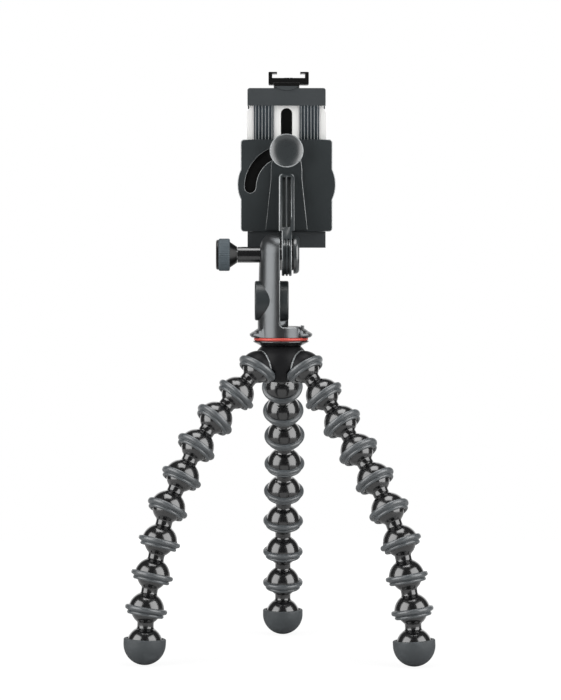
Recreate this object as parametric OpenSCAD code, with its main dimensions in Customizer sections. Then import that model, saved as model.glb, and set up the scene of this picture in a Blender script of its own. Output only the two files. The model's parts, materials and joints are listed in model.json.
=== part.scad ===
// Small tripod with three flexible legs of ball-and-socket links, and a tilting,
// turning clamp for a flat device. Lengths are in millimetres and +Z is up. The
// clamp's knobs face -Y, two legs stand to the front and one to the rear.

/* [Legs] */
// Distance between neighbouring ball centres along a leg
link_pitch = 19.5; // [19:0.5:21]
// Diameter of a ball
ball_d = 17; // [16:0.2:17.4]
// Outer diameter of a socket dome
dome_d = 20.2; // [19.8:0.2:21]
// Diameter of the neck under a ball
neck_d = 9.2; // [8:0.2:10]
// Radius of the fillet between neck and dome
neck_fillet = 1; // [0.6:0.1:1.2]
// Depth of the hard socket rim below the ball's centre
rim_drop = 3; // [2.4:0.2:3.2]
// Outer diameter of a grip ring
ring_d = 24; // [23.4:0.2:25]
// Thickness of the grip ring's main bead
ring_bead = 3.6; // [3:0.2:4]
// Thickness of the grip ring's lower lip
lip_bead = 2.5; // [2.2:0.1:2.7]
// Outer diameter of the grip ring's lower lip
lip_d = 21.5; // [21:0.1:22]
// Diameter of a rubber foot
foot_d = 24; // [23:0.5:28]
// Height of a foot's rim above its centre
foot_rim = 3; // [2:0.2:4]

/* [Pose] */
// Height of the hub sockets over the foot centres, in link pitches
stand_share = 7.9; // [7.88:0.004:7.94]
// Lean of links 2 to 8 and the foot of the left leg, in degrees
left_lean_angles = [44.5, 38.5, 30, 29, 15.5, 13.5, 11, 3];
// Lean of links 2 to 8 and the foot of the right leg, in degrees
right_lean_angles = [39, 37.5, 35.5, 32.5, 23.5, 11, 10, 3.5];
// Lean of links 2 to 8 and the foot of the rear leg, in degrees
rear_lean_angles = [40.5, 37, 27, 27.5, 18.5, 12, 11, 1];
// Sideways turn of links 1 to 8 and the foot of the left leg, in degrees
left_sway_angles = [-11.5, -3, 1, 2, 5, -1, -3.5, -4, -2];
// Sideways turn of links 1 to 8 and the foot of the right leg, in degrees
right_sway_angles = [7, -3, -9, -6, -11, -4, 7, 9, 6];
// Sideways turn of links 1 to 8 and the foot of the rear leg, in degrees
rear_sway_angles = [-3, -2.5, -3.5, 0, 2, 4, 2, 1, 3];

/* [Hub] */
// Distance of a hub socket's ball centre from the hub axis
socket_reach = 15.4; // [15.2:0.2:18]
// Lean of a hub socket from the vertical, in degrees
socket_lean = 36; // [32:1:40]
// Height of the hub's top over the socket centres
hub_rise = 12.4; // [10.6:0.2:13]
// Depth of the hub's lower end below the socket centres
hub_drop = 8; // [6:0.5:9]
// Rounding radius of the hub's barrel
barrel_round = 12; // [11.5:0.1:12.5]
// Distance of the barrel's rounding centre from the hub axis
barrel_offset = 3.8; // [3:0.1:4]
// Height of the barrel's rounding centre over the socket centres
barrel_rise = 3; // [2.5:0.1:3.5]

/* [Platform] */
// Radius of the platform disc
platform_r = 16.2; // [15.9:0.1:17]
// Radius of the platform disc's underside
platform_under_r = 11.3; // [11:0.1:12]
// Height of the platform disc
platform_t = 3.3; // [3:0.1:4]
// Outer radius of the red trim ring
red_ring_r = 15.7; // [15.2:0.1:15.8]
// Inner radius of the red trim ring
red_ring_bore_r = 13; // [12.6:0.1:13.4]
// Height of the red trim ring
red_ring_t = 1.8; // [1.6:0.1:2.6]
// Diameter of a 1/4 inch camera thread
thread_d = 6.35; // [6.3:0.05:6.4]
// Height of the camera screw above the platform
screw_rise = 4.6; // [4:0.1:5]

/* [Post] */
// Radius of the post's column at its base
post_r = 13.4; // [13:0.1:13.8]
// Radius of the post's column at the tilt axis
post_top_r = 12.5; // [12.4:0.1:12.8]
// Place of the post's flat face, to the right of the hub axis
post_face_x = -0.6; // [-1:0.1:-0.4]
// Radius of the foot's wings
wing_r = 18; // [17:0.1:19]
// Width of the foot's wings from front to rear
wing_w = 18; // [16:0.5:20]
// Height of the wings' upright rim
wing_rim_h = 2; // [1.2:0.1:2.4]
// Height of the step beside the post above the foot's underside
step_h = 6; // [5.8:0.1:7]
// Height of the tilt axis above the foot's underside
tilt_h = 47.4; // [47:0.2:52]
// Radius of the post's head about the tilt axis
head_r = 12; // [11.8:0.1:12.4]
// Rounding radius of the head's left side
head_round = 8; // [7:0.5:8]
// Length of the head along the tilt axis
head_w = 11.2; // [11:0.1:12.4]
// Radius of the side boss
boss_r = 11.4; // [10.8:0.1:11.6]
// Height of the side boss's axis above the foot's underside
boss_h = 21; // [20:0.1:22]
// Place of the side boss's left face
boss_left_x = -15.1; // [-16:0.1:-14.4]
// Place of the side boss's right face
boss_right_x = 4.4; // [4:0.1:5]

/* [Tilt hinge] */
// Diameter of the tilt bolt
bolt_d = 6; // [5:0.5:6]
// Outer diameter of the spacer tube
spacer_d = 9.2; // [8.8:0.2:10]
// Length of the spacer tube
spacer_l = 13.2; // [12:0.2:16]
// Diameter of the tilt knob's grip
knob_d = 18.6; // [17:0.2:20]
// Length of the tilt knob's grip
knob_grip_l = 6.6; // [6:0.2:8]
// Number of ribs round the tilt knob's grip
knob_ribs = 36; // [30:1:40]
// Radius of the arm's tongue
tongue_r = 12.2; // [11.2:0.1:12.4]
// Thickness of the arm's tongue
tongue_t = 5.8; // [5.4:0.1:6]
// Thickness of a friction washer
washer_t = 0.8; // [0.6:0.1:0.8]
// Radius of a friction washer
washer_r = 9; // [8:0.5:10]
// Radius of the cap over the bolt's head
cap_r = 10.9; // [10.5:0.1:11.6]
// Thickness of the cap
cap_t = 3.4; // [3:0.1:4]

/* [Arm] */
// Place of the clamp's middle, to the right of the hub axis
clamp_x = 3.2; // [3:0.1:3.6]
// Height of the turning pivot above the tilt axis
pivot_h = 38.8; // [38:0.2:44]
// Width of the arm's plate at its lower end
arm_foot_w = 24.2; // [23:0.2:26]
// Width of the arm's plate at its shoulders
arm_waist_w = 18; // [16:0.2:18.4]
// Thickness of the arm's plate
arm_t = 2.5; // [2:0.1:3]
// Width of the arm's gusset
gusset_w = 8.9; // [8.6:0.1:9.4]
// Depth of the channels in the gusset
channel_depth = 1.8; // [1:0.1:2.5]
// Diameter of the turning lock knob
turn_knob_d = 19.4; // [18:0.2:20]
// Thickness of the turning lock knob
turn_knob_t = 7; // [6:0.2:8]
// Diameter of the lock knob's stud
stud_d = 5; // [4:0.5:5]
// Diameter of the pivot pin
pivot_d = 6; // [5:0.5:7]

/* [Clamp] */
// Width of the clamp housing
housing_w = 53; // [50:0.5:56]
// Height of the clamp housing
housing_h = 53.2; // [51:0.2:56]
// Distance the pivot stands above the housing's lower edge
pivot_rise = 25.6; // [25:0.1:27]
// Gap between the tongue and the plane of the housing's back
housing_gap = 0.4; // [0.4:0.1:1]
// Thickness of the housing's back wall
housing_wall = 3.6; // [3.4:0.1:4]
// Thickness of the housing's side walls
side_wall = 3; // [2.8:0.1:3.4]
// Thickness of the lip over the arc groove
arc_lip = 1.2; // [1:0.1:1.4]
// Width of the arc slot
arc_slot_w = 6.6; // [6:0.1:6.8]
// Distance of the arc slot's middle line from the housing's side
arc_inset = 5.5; // [5.2:0.1:6]
// Width of the housing's side bulges beyond its sides
bulge_out = 1.9; // [1.4:0.1:2.4]
// Depth of the housing from its back to the front cover
housing_depth = 10.6; // [10.2:0.1:12]
// Thickness of the front cover
cover_t = 1.6; // [1.4:0.1:2.4]
// Thickness of the soft face pad on the front cover
face_pad_t = 1; // [0.8:0.1:1.4]
// Play on each side of the slide plate in the housing
slide_play = 0.4; // [0.3:0.05:0.5]
// Thickness of the slide plate
slide_t = 1.2; // [1:0.1:1.3]
// Width of the slide plate's long slot
slide_slot_w = 6.6; // [6:0.1:7]
// Width of a ribbed guide leg
guide_w = 11.4; // [10:0.2:12]
// Width of the bare strip outside a guide leg
strip_w = 4.2; // [3.6:0.1:5]
// Number of ribs on a guide leg
guide_ribs = 6; // [4:1:7]
// Opening between the jaws' pads
jaw_open = 78.4; // [77:0.2:80]
// Distance of a jaw's side inside the slide plate's edge
jaw_inset = 0.5; // [0.4:0.1:1.2]
// Height of the upper jaw's block
upper_jaw_h = 10.1; // [9:0.1:11]
// Height of the lower jaw's block
lower_jaw_h = 9.2; // [9:0.1:10]
// Depth of the space between the face pad and the jaws' lips
jaw_reach = 12; // [10:0.5:14]
// Thickness of a jaw's floor
jaw_floor = 4.9; // [4.5:0.1:5.5]
// Thickness of a jaw's soft pad
jaw_pad_t = 2; // [1.5:0.1:2.2]
// Thickness of a jaw's lip
jaw_lip_t = 2.6; // [2:0.1:3]
// Height of a jaw's lip above its pad
jaw_lip_h = 4.5; // [3:0.1:6]
// Travel of the upper jaw towards the lower one
close_travel = 19; // [17:0.5:19]

/* [Cold shoe] */
// Width of the shoe outside its walls
shoe_w = 23.3; // [22.5:0.1:24]
// Height of the shoe
shoe_h = 7.2; // [6.9:0.1:8]
// Thickness of the shoe's floor
shoe_floor = 3.7; // [3.5:0.1:4.4]
// Width of the shoe's channel
shoe_channel_w = 19; // [18.7:0.1:19.2]
// Height of the channel under its lips
shoe_channel_h = 2.7; // [2.5:0.1:2.8]
// Opening between the shoe's lips
shoe_opening = 13.4; // [12.6:0.1:14]
// Length of the shoe
shoe_l = 19; // [18:0.5:22]
// Place of the shoe's middle, to the right of its neck
shoe_shift = 1.2; // [0:0.1:1.5]
// Diameter of the neck under the shoe
shoe_neck_d = 15; // [13:0.5:16]
// Height of the neck under the shoe
shoe_neck_h = 2.1; // [1.6:0.1:2.6]

/* [Hidden] */
LEGS = ["left", "right", "rear"];
LINKS = 8;
$fn = 64;

// Clearances
run_gap = 0.05;    // between a turning part and its bore, on the radius
seat_gap = 0.05;   // between pieces that are fixed together
face_gap = 0.2;    // between faces that slide past each other
cut_over = 1;      // how far a cutter runs past a face

// Colours
gloss_black = [0.05, 0.05, 0.06];
grip_grey = [0.27, 0.30, 0.32];
clamp_grey = [0.19, 0.21, 0.22];
satin_grey = [0.42, 0.43, 0.45];
dark_metal = [0.16, 0.16, 0.17];
bare_alloy = [0.80, 0.81, 0.82];
brass = [0.72, 0.58, 0.32];
steel = [0.62, 0.63, 0.65];
trim_red = [0.85, 0.30, 0.28];

// Leg geometry
leg_angles = [210, 330, 90];
pose_leans = [left_lean_angles, right_lean_angles, rear_lean_angles];
pose_sways = [left_sway_angles, right_sway_angles, rear_sway_angles];
ball_r = ball_d / 2;
cavity_r = ball_r + run_gap;
dome_r = dome_d / 2;
neck_r = neck_d / 2;
ring_r = ring_d / 2;
ring_wall = 0.45;
foot_r = foot_d / 2;
foot_edge_r = 0.6;
socket_z = foot_r + link_pitch * stand_share;

function cos_sum(a, i = 0) = i < len(a) ? cos(a[i]) + cos_sum(a, i + 1) : 0;
// Link 1 takes up what the others leave, so that every foot stands at height zero
function first_lean(leg) = acos(stand_share - cos_sum(pose_leans[leg]));
function lean(leg, i) = i == 0 ? first_lean(leg) : pose_leans[leg][i - 1];
function sway(leg, i) = pose_sways[leg][i];
// Place of ball k of a leg, as [outwards, sideways, up] seen from the hub axis
function ball_at(leg, k) = k == 0 ? [socket_reach, 0, socket_z]
    : let (a = lean(leg, k - 1), b = sway(leg, k - 1))
        ball_at(leg, k - 1) + link_pitch * [sin(a) * cos(b), sin(a) * sin(b), -cos(a)];
// How far a foot's centre stands to the rear of the hub axis
function foot_y(leg) = let (p = ball_at(leg, LINKS + 1), a = leg_angles[leg])
    p[0] * sin(a) + p[1] * cos(a);
// How far it stands to the right of the hub axis
function foot_x(leg) = let (p = ball_at(leg, LINKS + 1), a = leg_angles[leg])
    p[0] * cos(a) - p[1] * sin(a);

// Place of the hub axis, seen from the middle of the footprint
hub_x = -(foot_x(0) + foot_x(1)) / 2;
front_reach = foot_r - min(foot_y(0), foot_y(1));
rear_reach = foot_y(2) + foot_r;
hub_y = (front_reach - rear_reach) / 2;

// Heights along the hub axis
hub_top = socket_z + hub_rise;
platform_top = hub_top + platform_t;
pad_t = 0.8;
pad_recess = 0.1;
insert_wall = 1.4;
foot_z = platform_top + red_ring_t + run_gap * 2;
pad_top = foot_z - seat_gap;
tilt_z = foot_z + tilt_h;
step_z = foot_z + step_h;
boss_z = foot_z + boss_h;
thread_r = thread_d / 2;
insert_r = thread_r + insert_wall;
screw_top = pad_top + screw_rise;
screw_head_r = 5;
screw_head_h = 4;
screw_head_z = socket_z + barrel_rise / 2;
base_cap_h = 2;

// Places along the tilt axis
bolt_r = bolt_d / 2;
bore_r = bolt_r + run_gap;
head_left_x = post_face_x - head_w;
spacer_x = head_left_x - seat_gap - spacer_l;
tongue_x = post_face_x + washer_t + face_gap;
cap_x = tongue_x + tongue_t + washer_t + seat_gap * 2;
knob_cone_l = 4.1;
knob_end_l = 1.3;
knob_cone_x = spacer_x - face_gap - knob_cone_l;
knob_grip_x = knob_cone_x - knob_grip_l;
knob_end_x = knob_grip_x - knob_end_l;
knob_r = knob_d / 2;
knob_grip_t = 1.9;
knob_core_r = knob_r - knob_grip_t;

// Places from front to rear, counted from the tilt axis
housing_y = tongue_r + housing_gap;
arm_y = housing_y - face_gap - arm_t;
housing_inner_y = housing_y + housing_wall;
guide_t = 0.8;
guide_y = housing_inner_y + face_gap;
slide_y = guide_y + guide_t + seat_gap;
liner_y = slide_y + slide_t + seat_gap;
liner_t = 0.8;
cover_y = housing_y + housing_depth;
face_pad_y = cover_y + cover_t + seat_gap;
jaw_face_y = face_pad_y + face_pad_t;
lip_y = jaw_face_y + jaw_reach;
jaw_set = 1.4;
jaw_back_y = housing_y + jaw_set;

// Widths of the clamp
cavity_w = housing_w - 2 * side_wall;
slide_w = cavity_w - 2 * slide_play;
jaw_w = slide_w - 2 * jaw_inset;
guide_x = slide_w / 2 - strip_w - guide_w / 2;
spring_inset = 9.1;
spring_x = slide_w / 2 - spring_inset;
arc_r = housing_w / 2 - arc_inset;
groove_side = 1.3;
groove_w = arc_slot_w + 2 * groove_side;
groove_depth = 1.6;

// Heights of the clamp
pivot_z = tilt_z + pivot_h;
stud_z = pivot_z + arc_r;
housing_z = pivot_z - pivot_rise;
housing_top = housing_z + housing_h;
lower_jaw_top = housing_z - face_gap;
lower_jaw_z = lower_jaw_top - lower_jaw_h;
lower_pad_top = lower_jaw_z + jaw_floor + seat_gap + jaw_pad_t;
upper_pad_z = lower_pad_top + jaw_open;
upper_floor_z = upper_pad_z + jaw_pad_t + seat_gap;
upper_jaw_top = upper_floor_z + jaw_floor;
upper_jaw_z = upper_jaw_top - upper_jaw_h;
cavity_z = housing_z + side_wall;
slide_bottom = cavity_z + close_travel + face_gap * 2;
slide_hold = 6;
slide_top = upper_jaw_z + slide_hold;
slot_drop = 1.4;
slide_slot_top = upper_jaw_z - slot_drop;
slide_shoulder = 1.5;
knob_clear = 3.6;
gusset_top = stud_z - turn_knob_d / 2 - knob_clear;
shoe_overhang = 0.6;
shoe_x = clamp_x + shoe_shift;
shoe_y = jaw_back_y + shoe_l / 2 - shoe_overhang;
shoe_neck_top = upper_jaw_top + shoe_neck_h;

// Pieces that meet in more than one module
side_insert_l = 10;
head_hex_r = 5;
head_hex_h = 2.2;
pivot_head_r = 5;
pivot_head_t = 1.5;
knob_floor = 2;
into_knob = turn_knob_t - knob_floor;
screw_r = 0.9;
screw_head = 1.4;
screw_len = 6;
screw_head_t = 1;
screw_inset = 5.5;
shoe_screw_r = 1.5;
shoe_screw_head_r = 2.6;
shoe_screw_sink = 1.6;
screw_hole_r = shoe_screw_r + seat_gap;
pad_margin = 1.6;
rib_pitch = 4;
rib_w = 1.2;
rib_depth = 0.6;

// Springs that draw the upper jaw down, one each side, in the room in front of the slide
spring_r = 1.5;
spring_wire_r = 0.3;
spring_turns = 12;
spring_steps = 8;
spring_sides = 6;
spring_l = 35.4;
spring_y = cover_y - spring_r - spring_wire_r * 2;
spring_z0 = cavity_z + spring_wire_r * 2;
spring_z1 = spring_z0 + spring_l;

// Turns the children so that they stand on ball k of a leg, leaning and turned as given
module on_ball(leg, k, tilt, turn = 0) {
    rotate([0, 0, leg_angles[leg]]) translate(ball_at(leg, k)) rotate([0, -tilt, turn]) children();
}

// Everything is drawn about the hub axis and then set over the footprint's middle
module stand() {
    translate([hub_x, hub_y, 0]) children();
}

// A rod along +X from the given place on the tilt axis
module x_rod(x, l, r) {
    translate([x, 0, tilt_z]) rotate([0, 90, 0]) cylinder(r = r, h = l);
}

// A rod along +Y from the given place in the clamp
module y_rod(x, y, z, l, r) {
    translate([x, y, z]) rotate([-90, 0, 0]) cylinder(r = r, h = l);
}

// An outline in X and Z, drawn from y onwards for the given thickness
module y_plate(y, t) {
    translate([0, y + t, 0]) rotate([90, 0, 0]) linear_extrude(height = t) children();
}

// An outline in Y and Z, drawn from x onwards for the given thickness
module x_plate(x, t) {
    translate([x, 0, 0]) rotate([90, 0, 90]) linear_extrude(height = t) children();
}

module rounded_rect(w, h, r) {
    translate([-w / 2, r]) square([w, h - 2 * r]);
    translate([r - w / 2, 0]) square([w - 2 * r, h]);
    for (x = [r - w / 2, w / 2 - r], y = [r, h - r]) translate([x, y]) circle(r = r);
}

// Legs

// A dome centred on its ball, cut off at the rim below the centre
module socket_dome() {
    intersection() {
        sphere(r = dome_r);
        translate([0, 0, -rim_drop]) cylinder(r = ring_r, h = rim_drop + ring_r);
    }
}

// The neck from a ball down to the dome below it, with a fillet at the dome
module neck() {
    fillet_z = sqrt(pow(dome_r + neck_fillet, 2) - pow(neck_r + neck_fillet, 2)) - link_pitch;
    translate([0, 0, cavity_r - link_pitch]) cylinder(r = neck_r, h = link_pitch - cavity_r);
    difference() {
        translate([0, 0, cavity_r - link_pitch])
            cylinder(r = neck_r + neck_fillet, h = fillet_z + link_pitch - cavity_r);
        rotate_extrude() translate([neck_r + neck_fillet, fillet_z]) circle(r = neck_fillet);
        translate([0, 0, -link_pitch]) mirror([0, 0, 1]) cylinder(r = ring_r, h = ring_r);
        rotate_extrude() difference() {
            outer = neck_r + neck_fillet;
            contact = neck_r + neck_fillet - neck_fillet * (neck_r + neck_fillet) / (dome_r + neck_fillet);
            translate([contact, -link_pitch]) square([ring_r, fillet_z + link_pitch]);
            translate([0, -link_pitch]) circle(r = dome_r);
            translate([0, -link_pitch]) square([contact, link_pitch]);
        }
    }
}

module link_body() {
    color(gloss_black) difference() {
        union() {
            sphere(r = ball_r);
            neck();
            translate([0, 0, -link_pitch]) socket_dome();
        }
        translate([0, 0, -link_pitch]) sphere(r = cavity_r);
    }
}

// Two soft beads with a groove between, held on the dome by a thin sleeve
module grip_ring() {
    color(grip_grey) rotate_extrude() difference() {
        union() {
            intersection() {
                circle(r = dome_r + ring_wall);
                translate([cavity_r, -rim_drop - seat_gap]) square([ring_r, rim_drop + ring_bead / 2]);
            }
            translate([ring_r - ring_bead / 2, 0]) circle(r = ring_bead / 2);
            translate([(lip_d - lip_bead) / 2, seat_gap - rim_drop]) circle(r = lip_bead / 2);
        }
        intersection() {
            circle(r = dome_r + seat_gap);
            translate([0, -rim_drop - seat_gap]) square([ring_r, ring_r * 2]);
        }
    }
}

module leg_link(leg, i) {
    stand() on_ball(leg, i - 1, lean(leg, i - 1), sway(leg, i - 1)) {
        link_body();
        translate([0, 0, -link_pitch]) grip_ring();
    }
}

module foot_stud(leg) {
    stand() color(gloss_black) on_ball(leg, LINKS, lean(leg, LINKS), sway(leg, LINKS)) {
        sphere(r = ball_r);
        neck();
        translate([0, 0, -link_pitch]) sphere(r = dome_r);
    }
}

module foot_pad(leg) {
    stand() color(grip_grey) on_ball(leg, LINKS, lean(leg, LINKS), sway(leg, LINKS))
        translate([0, 0, -link_pitch]) rotate_extrude() difference() {
            union() {
                intersection() {
                    circle(r = foot_r);
                    translate([0, -foot_r]) square([foot_r, foot_r]);
                }
                square([foot_r, foot_rim - foot_edge_r]);
                square([foot_r - foot_edge_r, foot_rim]);
                translate([foot_r - foot_edge_r, foot_rim - foot_edge_r]) circle(r = foot_edge_r);
            }
            circle(r = dome_r + seat_gap);
        }
}

// Hub

// Room for a grip ring round a hub socket, open downwards
module ring_room() {
    translate([0, 0, -socket_reach]) cylinder(r = ring_r + face_gap, h = socket_reach + ring_bead / 2 + face_gap);
}

module hub_body() {
    bore = thread_r + run_gap * 2;
    stand() color(gloss_black) difference() {
        union() {
            difference() {
                rotate_extrude() intersection() {
                    translate([barrel_offset, socket_z + barrel_rise]) circle(r = barrel_round);
                    translate([0, socket_z - hub_drop]) square([ring_d, hub_rise + hub_drop]);
                }
                for (leg = [0:2]) on_ball(leg, 0, socket_lean) ring_room();
            }
            for (leg = [0:2]) on_ball(leg, 0, socket_lean) socket_dome();
        }
        for (leg = [0:2]) on_ball(leg, 0, socket_lean) sphere(r = cavity_r);
        cylinder(r = bore, h = hub_top + cut_over);
        cylinder(r = screw_head_r + seat_gap * 2, h = screw_head_z + screw_head_h + seat_gap);
    }
}

module hub_socket_rings() {
    stand() for (leg = [0:2]) on_ball(leg, 0, socket_lean) grip_ring();
}

module hub_base_cap() {
    stand() color(gloss_black) translate([0, 0, socket_z - hub_drop])
        cylinder(r = screw_head_r + seat_gap, h = base_cap_h);
}

module platform_disc() {
    rim_h = 0.8;
    bevel_h = platform_t - rim_h;
    core_r = red_ring_bore_r - seat_gap;
    stand() color(gloss_black) difference() {
        union() {
            translate([0, 0, hub_top]) cylinder(r1 = platform_under_r, r2 = platform_r, h = bevel_h);
            translate([0, 0, hub_top + bevel_h]) cylinder(r = platform_r, h = rim_h);
            translate([0, 0, platform_top]) cylinder(r = core_r, h = pad_top - pad_recess - platform_top);
        }
        translate([0, 0, hub_top - cut_over]) cylinder(r = thread_r + run_gap * 2, h = ring_d);
        translate([0, 0, pad_top - pad_t]) cylinder(r = core_r - pad_t, h = pad_t);
    }
}

module red_ring() {
    edge = 0.5;
    stand() color(trim_red) translate([0, 0, platform_top]) rotate_extrude() {
        translate([red_ring_bore_r, 0]) square([red_ring_r - red_ring_bore_r - edge, red_ring_t]);
        translate([red_ring_bore_r, edge])
            square([red_ring_r - red_ring_bore_r, red_ring_t - 2 * edge]);
        for (z = [edge, red_ring_t - edge]) translate([red_ring_r - edge, z]) circle(r = edge);
    }
}

module platform_pad() {
    stand() color(grip_grey) difference() {
        translate([0, 0, pad_top - pad_t]) cylinder(r = red_ring_bore_r - pad_t - seat_gap * 2, h = pad_t);
        translate([0, 0, pad_top - pad_t - cut_over]) cylinder(r = thread_r + run_gap * 2, h = ring_d);
    }
}

module camera_screw() {
    stand() color(steel) {
        translate([0, 0, screw_head_z]) cylinder(r = screw_head_r, h = screw_head_h);
        translate([0, 0, screw_head_z]) cylinder(r = thread_r, h = screw_top - screw_head_z);
    }
}

// Mount

// The part of the post's column that stands to the right of its flat face and above the step
module beside_post() {
    fillet = 2.3;
    lip_w = 2;
    lip_h = 0.6;
    y_plate(-wing_r, wing_r * 2) difference() {
        union() {
            translate([post_face_x + fillet, step_z]) square([wing_r * 2, tilt_h]);
            translate([post_face_x, step_z + fillet]) square([wing_r * 2, tilt_h]);
            translate([post_face_x + fillet, step_z + fillet]) circle(r = fillet);
        }
        translate([post_r - lip_w, step_z - lip_h]) square([wing_r, lip_h * 2]);
    }
}

module post() {
    cone_h = 3;
    ring_groove_r = 15.4;
    ring_groove_w = 0.9;
    ring_groove_depth = 0.7;
    column_base_h = step_h + cone_h;
    web_w = 7;
    spot_margin = 0.6;
    stand() color(satin_grey) difference() {
        union() {
            // wings of the foot
            intersection() {
                rotate_extrude() polygon([
                    [0, foot_z], [wing_r - wing_rim_h / 2, foot_z], [wing_r, foot_z + wing_rim_h / 2],
                    [wing_r, foot_z + wing_rim_h], [post_r, foot_z + wing_rim_h + cone_h],
                    [0, foot_z + wing_rim_h + cone_h]]);
                translate([-wing_r, -wing_w / 2, foot_z]) cube([wing_r * 2, wing_w, step_h]);
            }
            // column, cut flat on its right side, with the rounded head on top
            difference() {
                union() {
                    translate([0, 0, foot_z]) cylinder(r = post_r, h = column_base_h);
                    translate([0, 0, foot_z + column_base_h])
                        cylinder(r1 = post_r, r2 = post_top_r, h = tilt_h - column_base_h);
                }
                beside_post();
            }
            translate([head_left_x, 0, tilt_z]) rotate([0, 90, 0]) rotate_extrude() {
                translate([0, head_round]) square([head_r, head_w - head_round]);
                square([head_r - head_round, head_w]);
                intersection() {
                    translate([head_r - head_round, head_round]) circle(r = head_round);
                    square([head_r, head_round]);
                }
            }
            // web that carries the side boss to the right of the column
            translate([post_face_x - cut_over, -web_w / 2, foot_z + cut_over])
                cube([boss_right_x - post_face_x + cut_over - seat_gap * 4, web_w, boss_h - cut_over]);
        }
        translate([boss_left_x - cut_over, 0, boss_z]) rotate([0, 90, 0])
            cylinder(r = boss_r + seat_gap, h = boss_right_x - boss_left_x + 2 * cut_over);
        x_rod(head_left_x - cut_over, head_w + 2 * cut_over, bore_r);
        // spot face that the spacer stands on
        x_rod(head_left_x - post_r, post_r, spacer_d / 2 + spot_margin);
        translate([0, 0, foot_z - cut_over]) cylinder(r = insert_r + seat_gap, h = cut_over + step_h - foot_edge_r);
        // narrow groove round the top of the wings
        rotate_extrude() translate([ring_groove_r, foot_z + wing_rim_h - ring_groove_depth
            + cone_h * (wing_r - ring_groove_r - ring_groove_w) / (wing_r - post_r)]) square([ring_groove_w, cone_h]);
    }
}

// Tapped sleeves for a 1/4 inch screw, in the foot and in the side boss's left end
module thread_inserts() {
    hole_r = thread_r + run_gap;
    stand() color(brass) {
        translate([0, 0, foot_z + seat_gap]) difference() {
            cylinder(r = insert_r, h = step_h - foot_edge_r - seat_gap * 2);
            translate([0, 0, -cut_over]) cylinder(r = hole_r, h = screw_rise + cut_over + face_gap);
        }
        translate([boss_left_x + seat_gap, 0, boss_z]) rotate([0, 90, 0]) difference() {
            cylinder(r = insert_r, h = side_insert_l);
            translate([0, 0, -cut_over]) cylinder(r = hole_r, h = side_insert_l + 2 * cut_over);
        }
    }
}

module side_boss() {
    edge = 0.6;
    stand() color(clamp_grey) translate([boss_left_x, 0, boss_z]) rotate([0, 90, 0]) difference() {
        union() {
            cylinder(r1 = boss_r - edge, r2 = boss_r, h = edge);
            translate([0, 0, edge]) cylinder(r = boss_r, h = boss_right_x - boss_left_x - 2 * edge);
            translate([0, 0, boss_right_x - boss_left_x - edge]) cylinder(r1 = boss_r, r2 = boss_r - edge, h = edge);
        }
        translate([0, 0, -cut_over]) cylinder(r = insert_r + seat_gap, h = side_insert_l + cut_over + seat_gap * 2);
    }
}

module tilt_spacer() {
    stand() color(dark_metal) difference() {
        x_rod(spacer_x, spacer_l, spacer_d / 2);
        x_rod(spacer_x - cut_over, spacer_l + 2 * cut_over, bore_r);
    }
}

// The bolt's head sits in the cap, and the knob runs on its other end
module tilt_bolt() {
    stand() color(steel) {
        x_rod(knob_grip_x + face_gap, cap_x + head_hex_h - knob_grip_x - face_gap, bolt_r);
        translate([cap_x + seat_gap, 0, tilt_z]) rotate([0, 90, 0])
            cylinder(r = head_hex_r, h = head_hex_h - seat_gap, $fn = 6);
    }
}

module tilt_knob() {
    end_inset = 0.7;
    end_r = knob_r - end_inset;
    end_bevel = 0.5;
    stand() color(dark_metal) difference() {
        union() {
            translate([knob_end_x, 0, tilt_z]) rotate([0, 90, 0]) {
                cylinder(r1 = end_r - end_bevel, r2 = end_r, h = end_bevel);
                translate([0, 0, end_bevel]) cylinder(r = end_r, h = knob_end_l - end_bevel);
            }
            x_rod(knob_grip_x - seat_gap, knob_grip_l + seat_gap * 2, knob_core_r);
            translate([knob_cone_x, 0, tilt_z]) rotate([0, 90, 0])
                cylinder(r1 = knob_core_r, r2 = spacer_d / 2, h = knob_cone_l);
        }
        x_rod(knob_grip_x, knob_grip_l + knob_cone_l + cut_over, bore_r);
    }
}

module tilt_knob_grip() {
    rib_r = 0.4;
    stand() color(grip_grey) translate([knob_grip_x + seat_gap, 0, tilt_z]) rotate([0, 90, 0])
        linear_extrude(height = knob_grip_l - seat_gap * 2) difference() {
            circle(r = knob_r);
            circle(r = knob_core_r + seat_gap);
            for (i = [0:knob_ribs - 1]) rotate(i * 360 / knob_ribs)
                translate([knob_r + rib_r / 4, 0]) circle(r = rib_r, $fn = 16);
        }
}

module tilt_cap() {
    edge = 2.2;
    stand() color(clamp_grey) translate([cap_x, 0, tilt_z]) rotate([0, 90, 0]) rotate_extrude() difference() {
        union() {
            square([cap_r, cap_t - edge]);
            square([cap_r - edge, cap_t]);
            intersection() {
                translate([cap_r - edge, cap_t - edge]) circle(r = edge);
                translate([0, cap_t - edge]) square([cap_r, edge]);
            }
        }
        square([head_hex_r + seat_gap, head_hex_h + seat_gap]);
    }
}

module friction_washers() {
    stand() color(dark_metal) for (x = [post_face_x + face_gap / 2, tongue_x + tongue_t + seat_gap]) difference() {
        x_rod(x, washer_t, washer_r);
        x_rod(x - cut_over, washer_t + 2 * cut_over, bore_r);
    }
}

// Side view of the tongue and the gusset that joins it to the arm's plate
module gusset_profile(front) {
    brow = 4.8;
    heel_rise = 0.5;
    translate([0, tilt_z]) circle(r = tongue_r - front);
    polygon([
        [front - tongue_r * 0.96, tilt_z + tongue_r * 0.28],
        [front + arm_y - brow, gusset_top],
        [arm_y + arm_t, gusset_top],
        [arm_y + arm_t, housing_z + heel_rise],
        [tongue_r * 0.8, tilt_z + tongue_r * 0.6],
        [tongue_r * 0.7, tilt_z]]);
}

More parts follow.
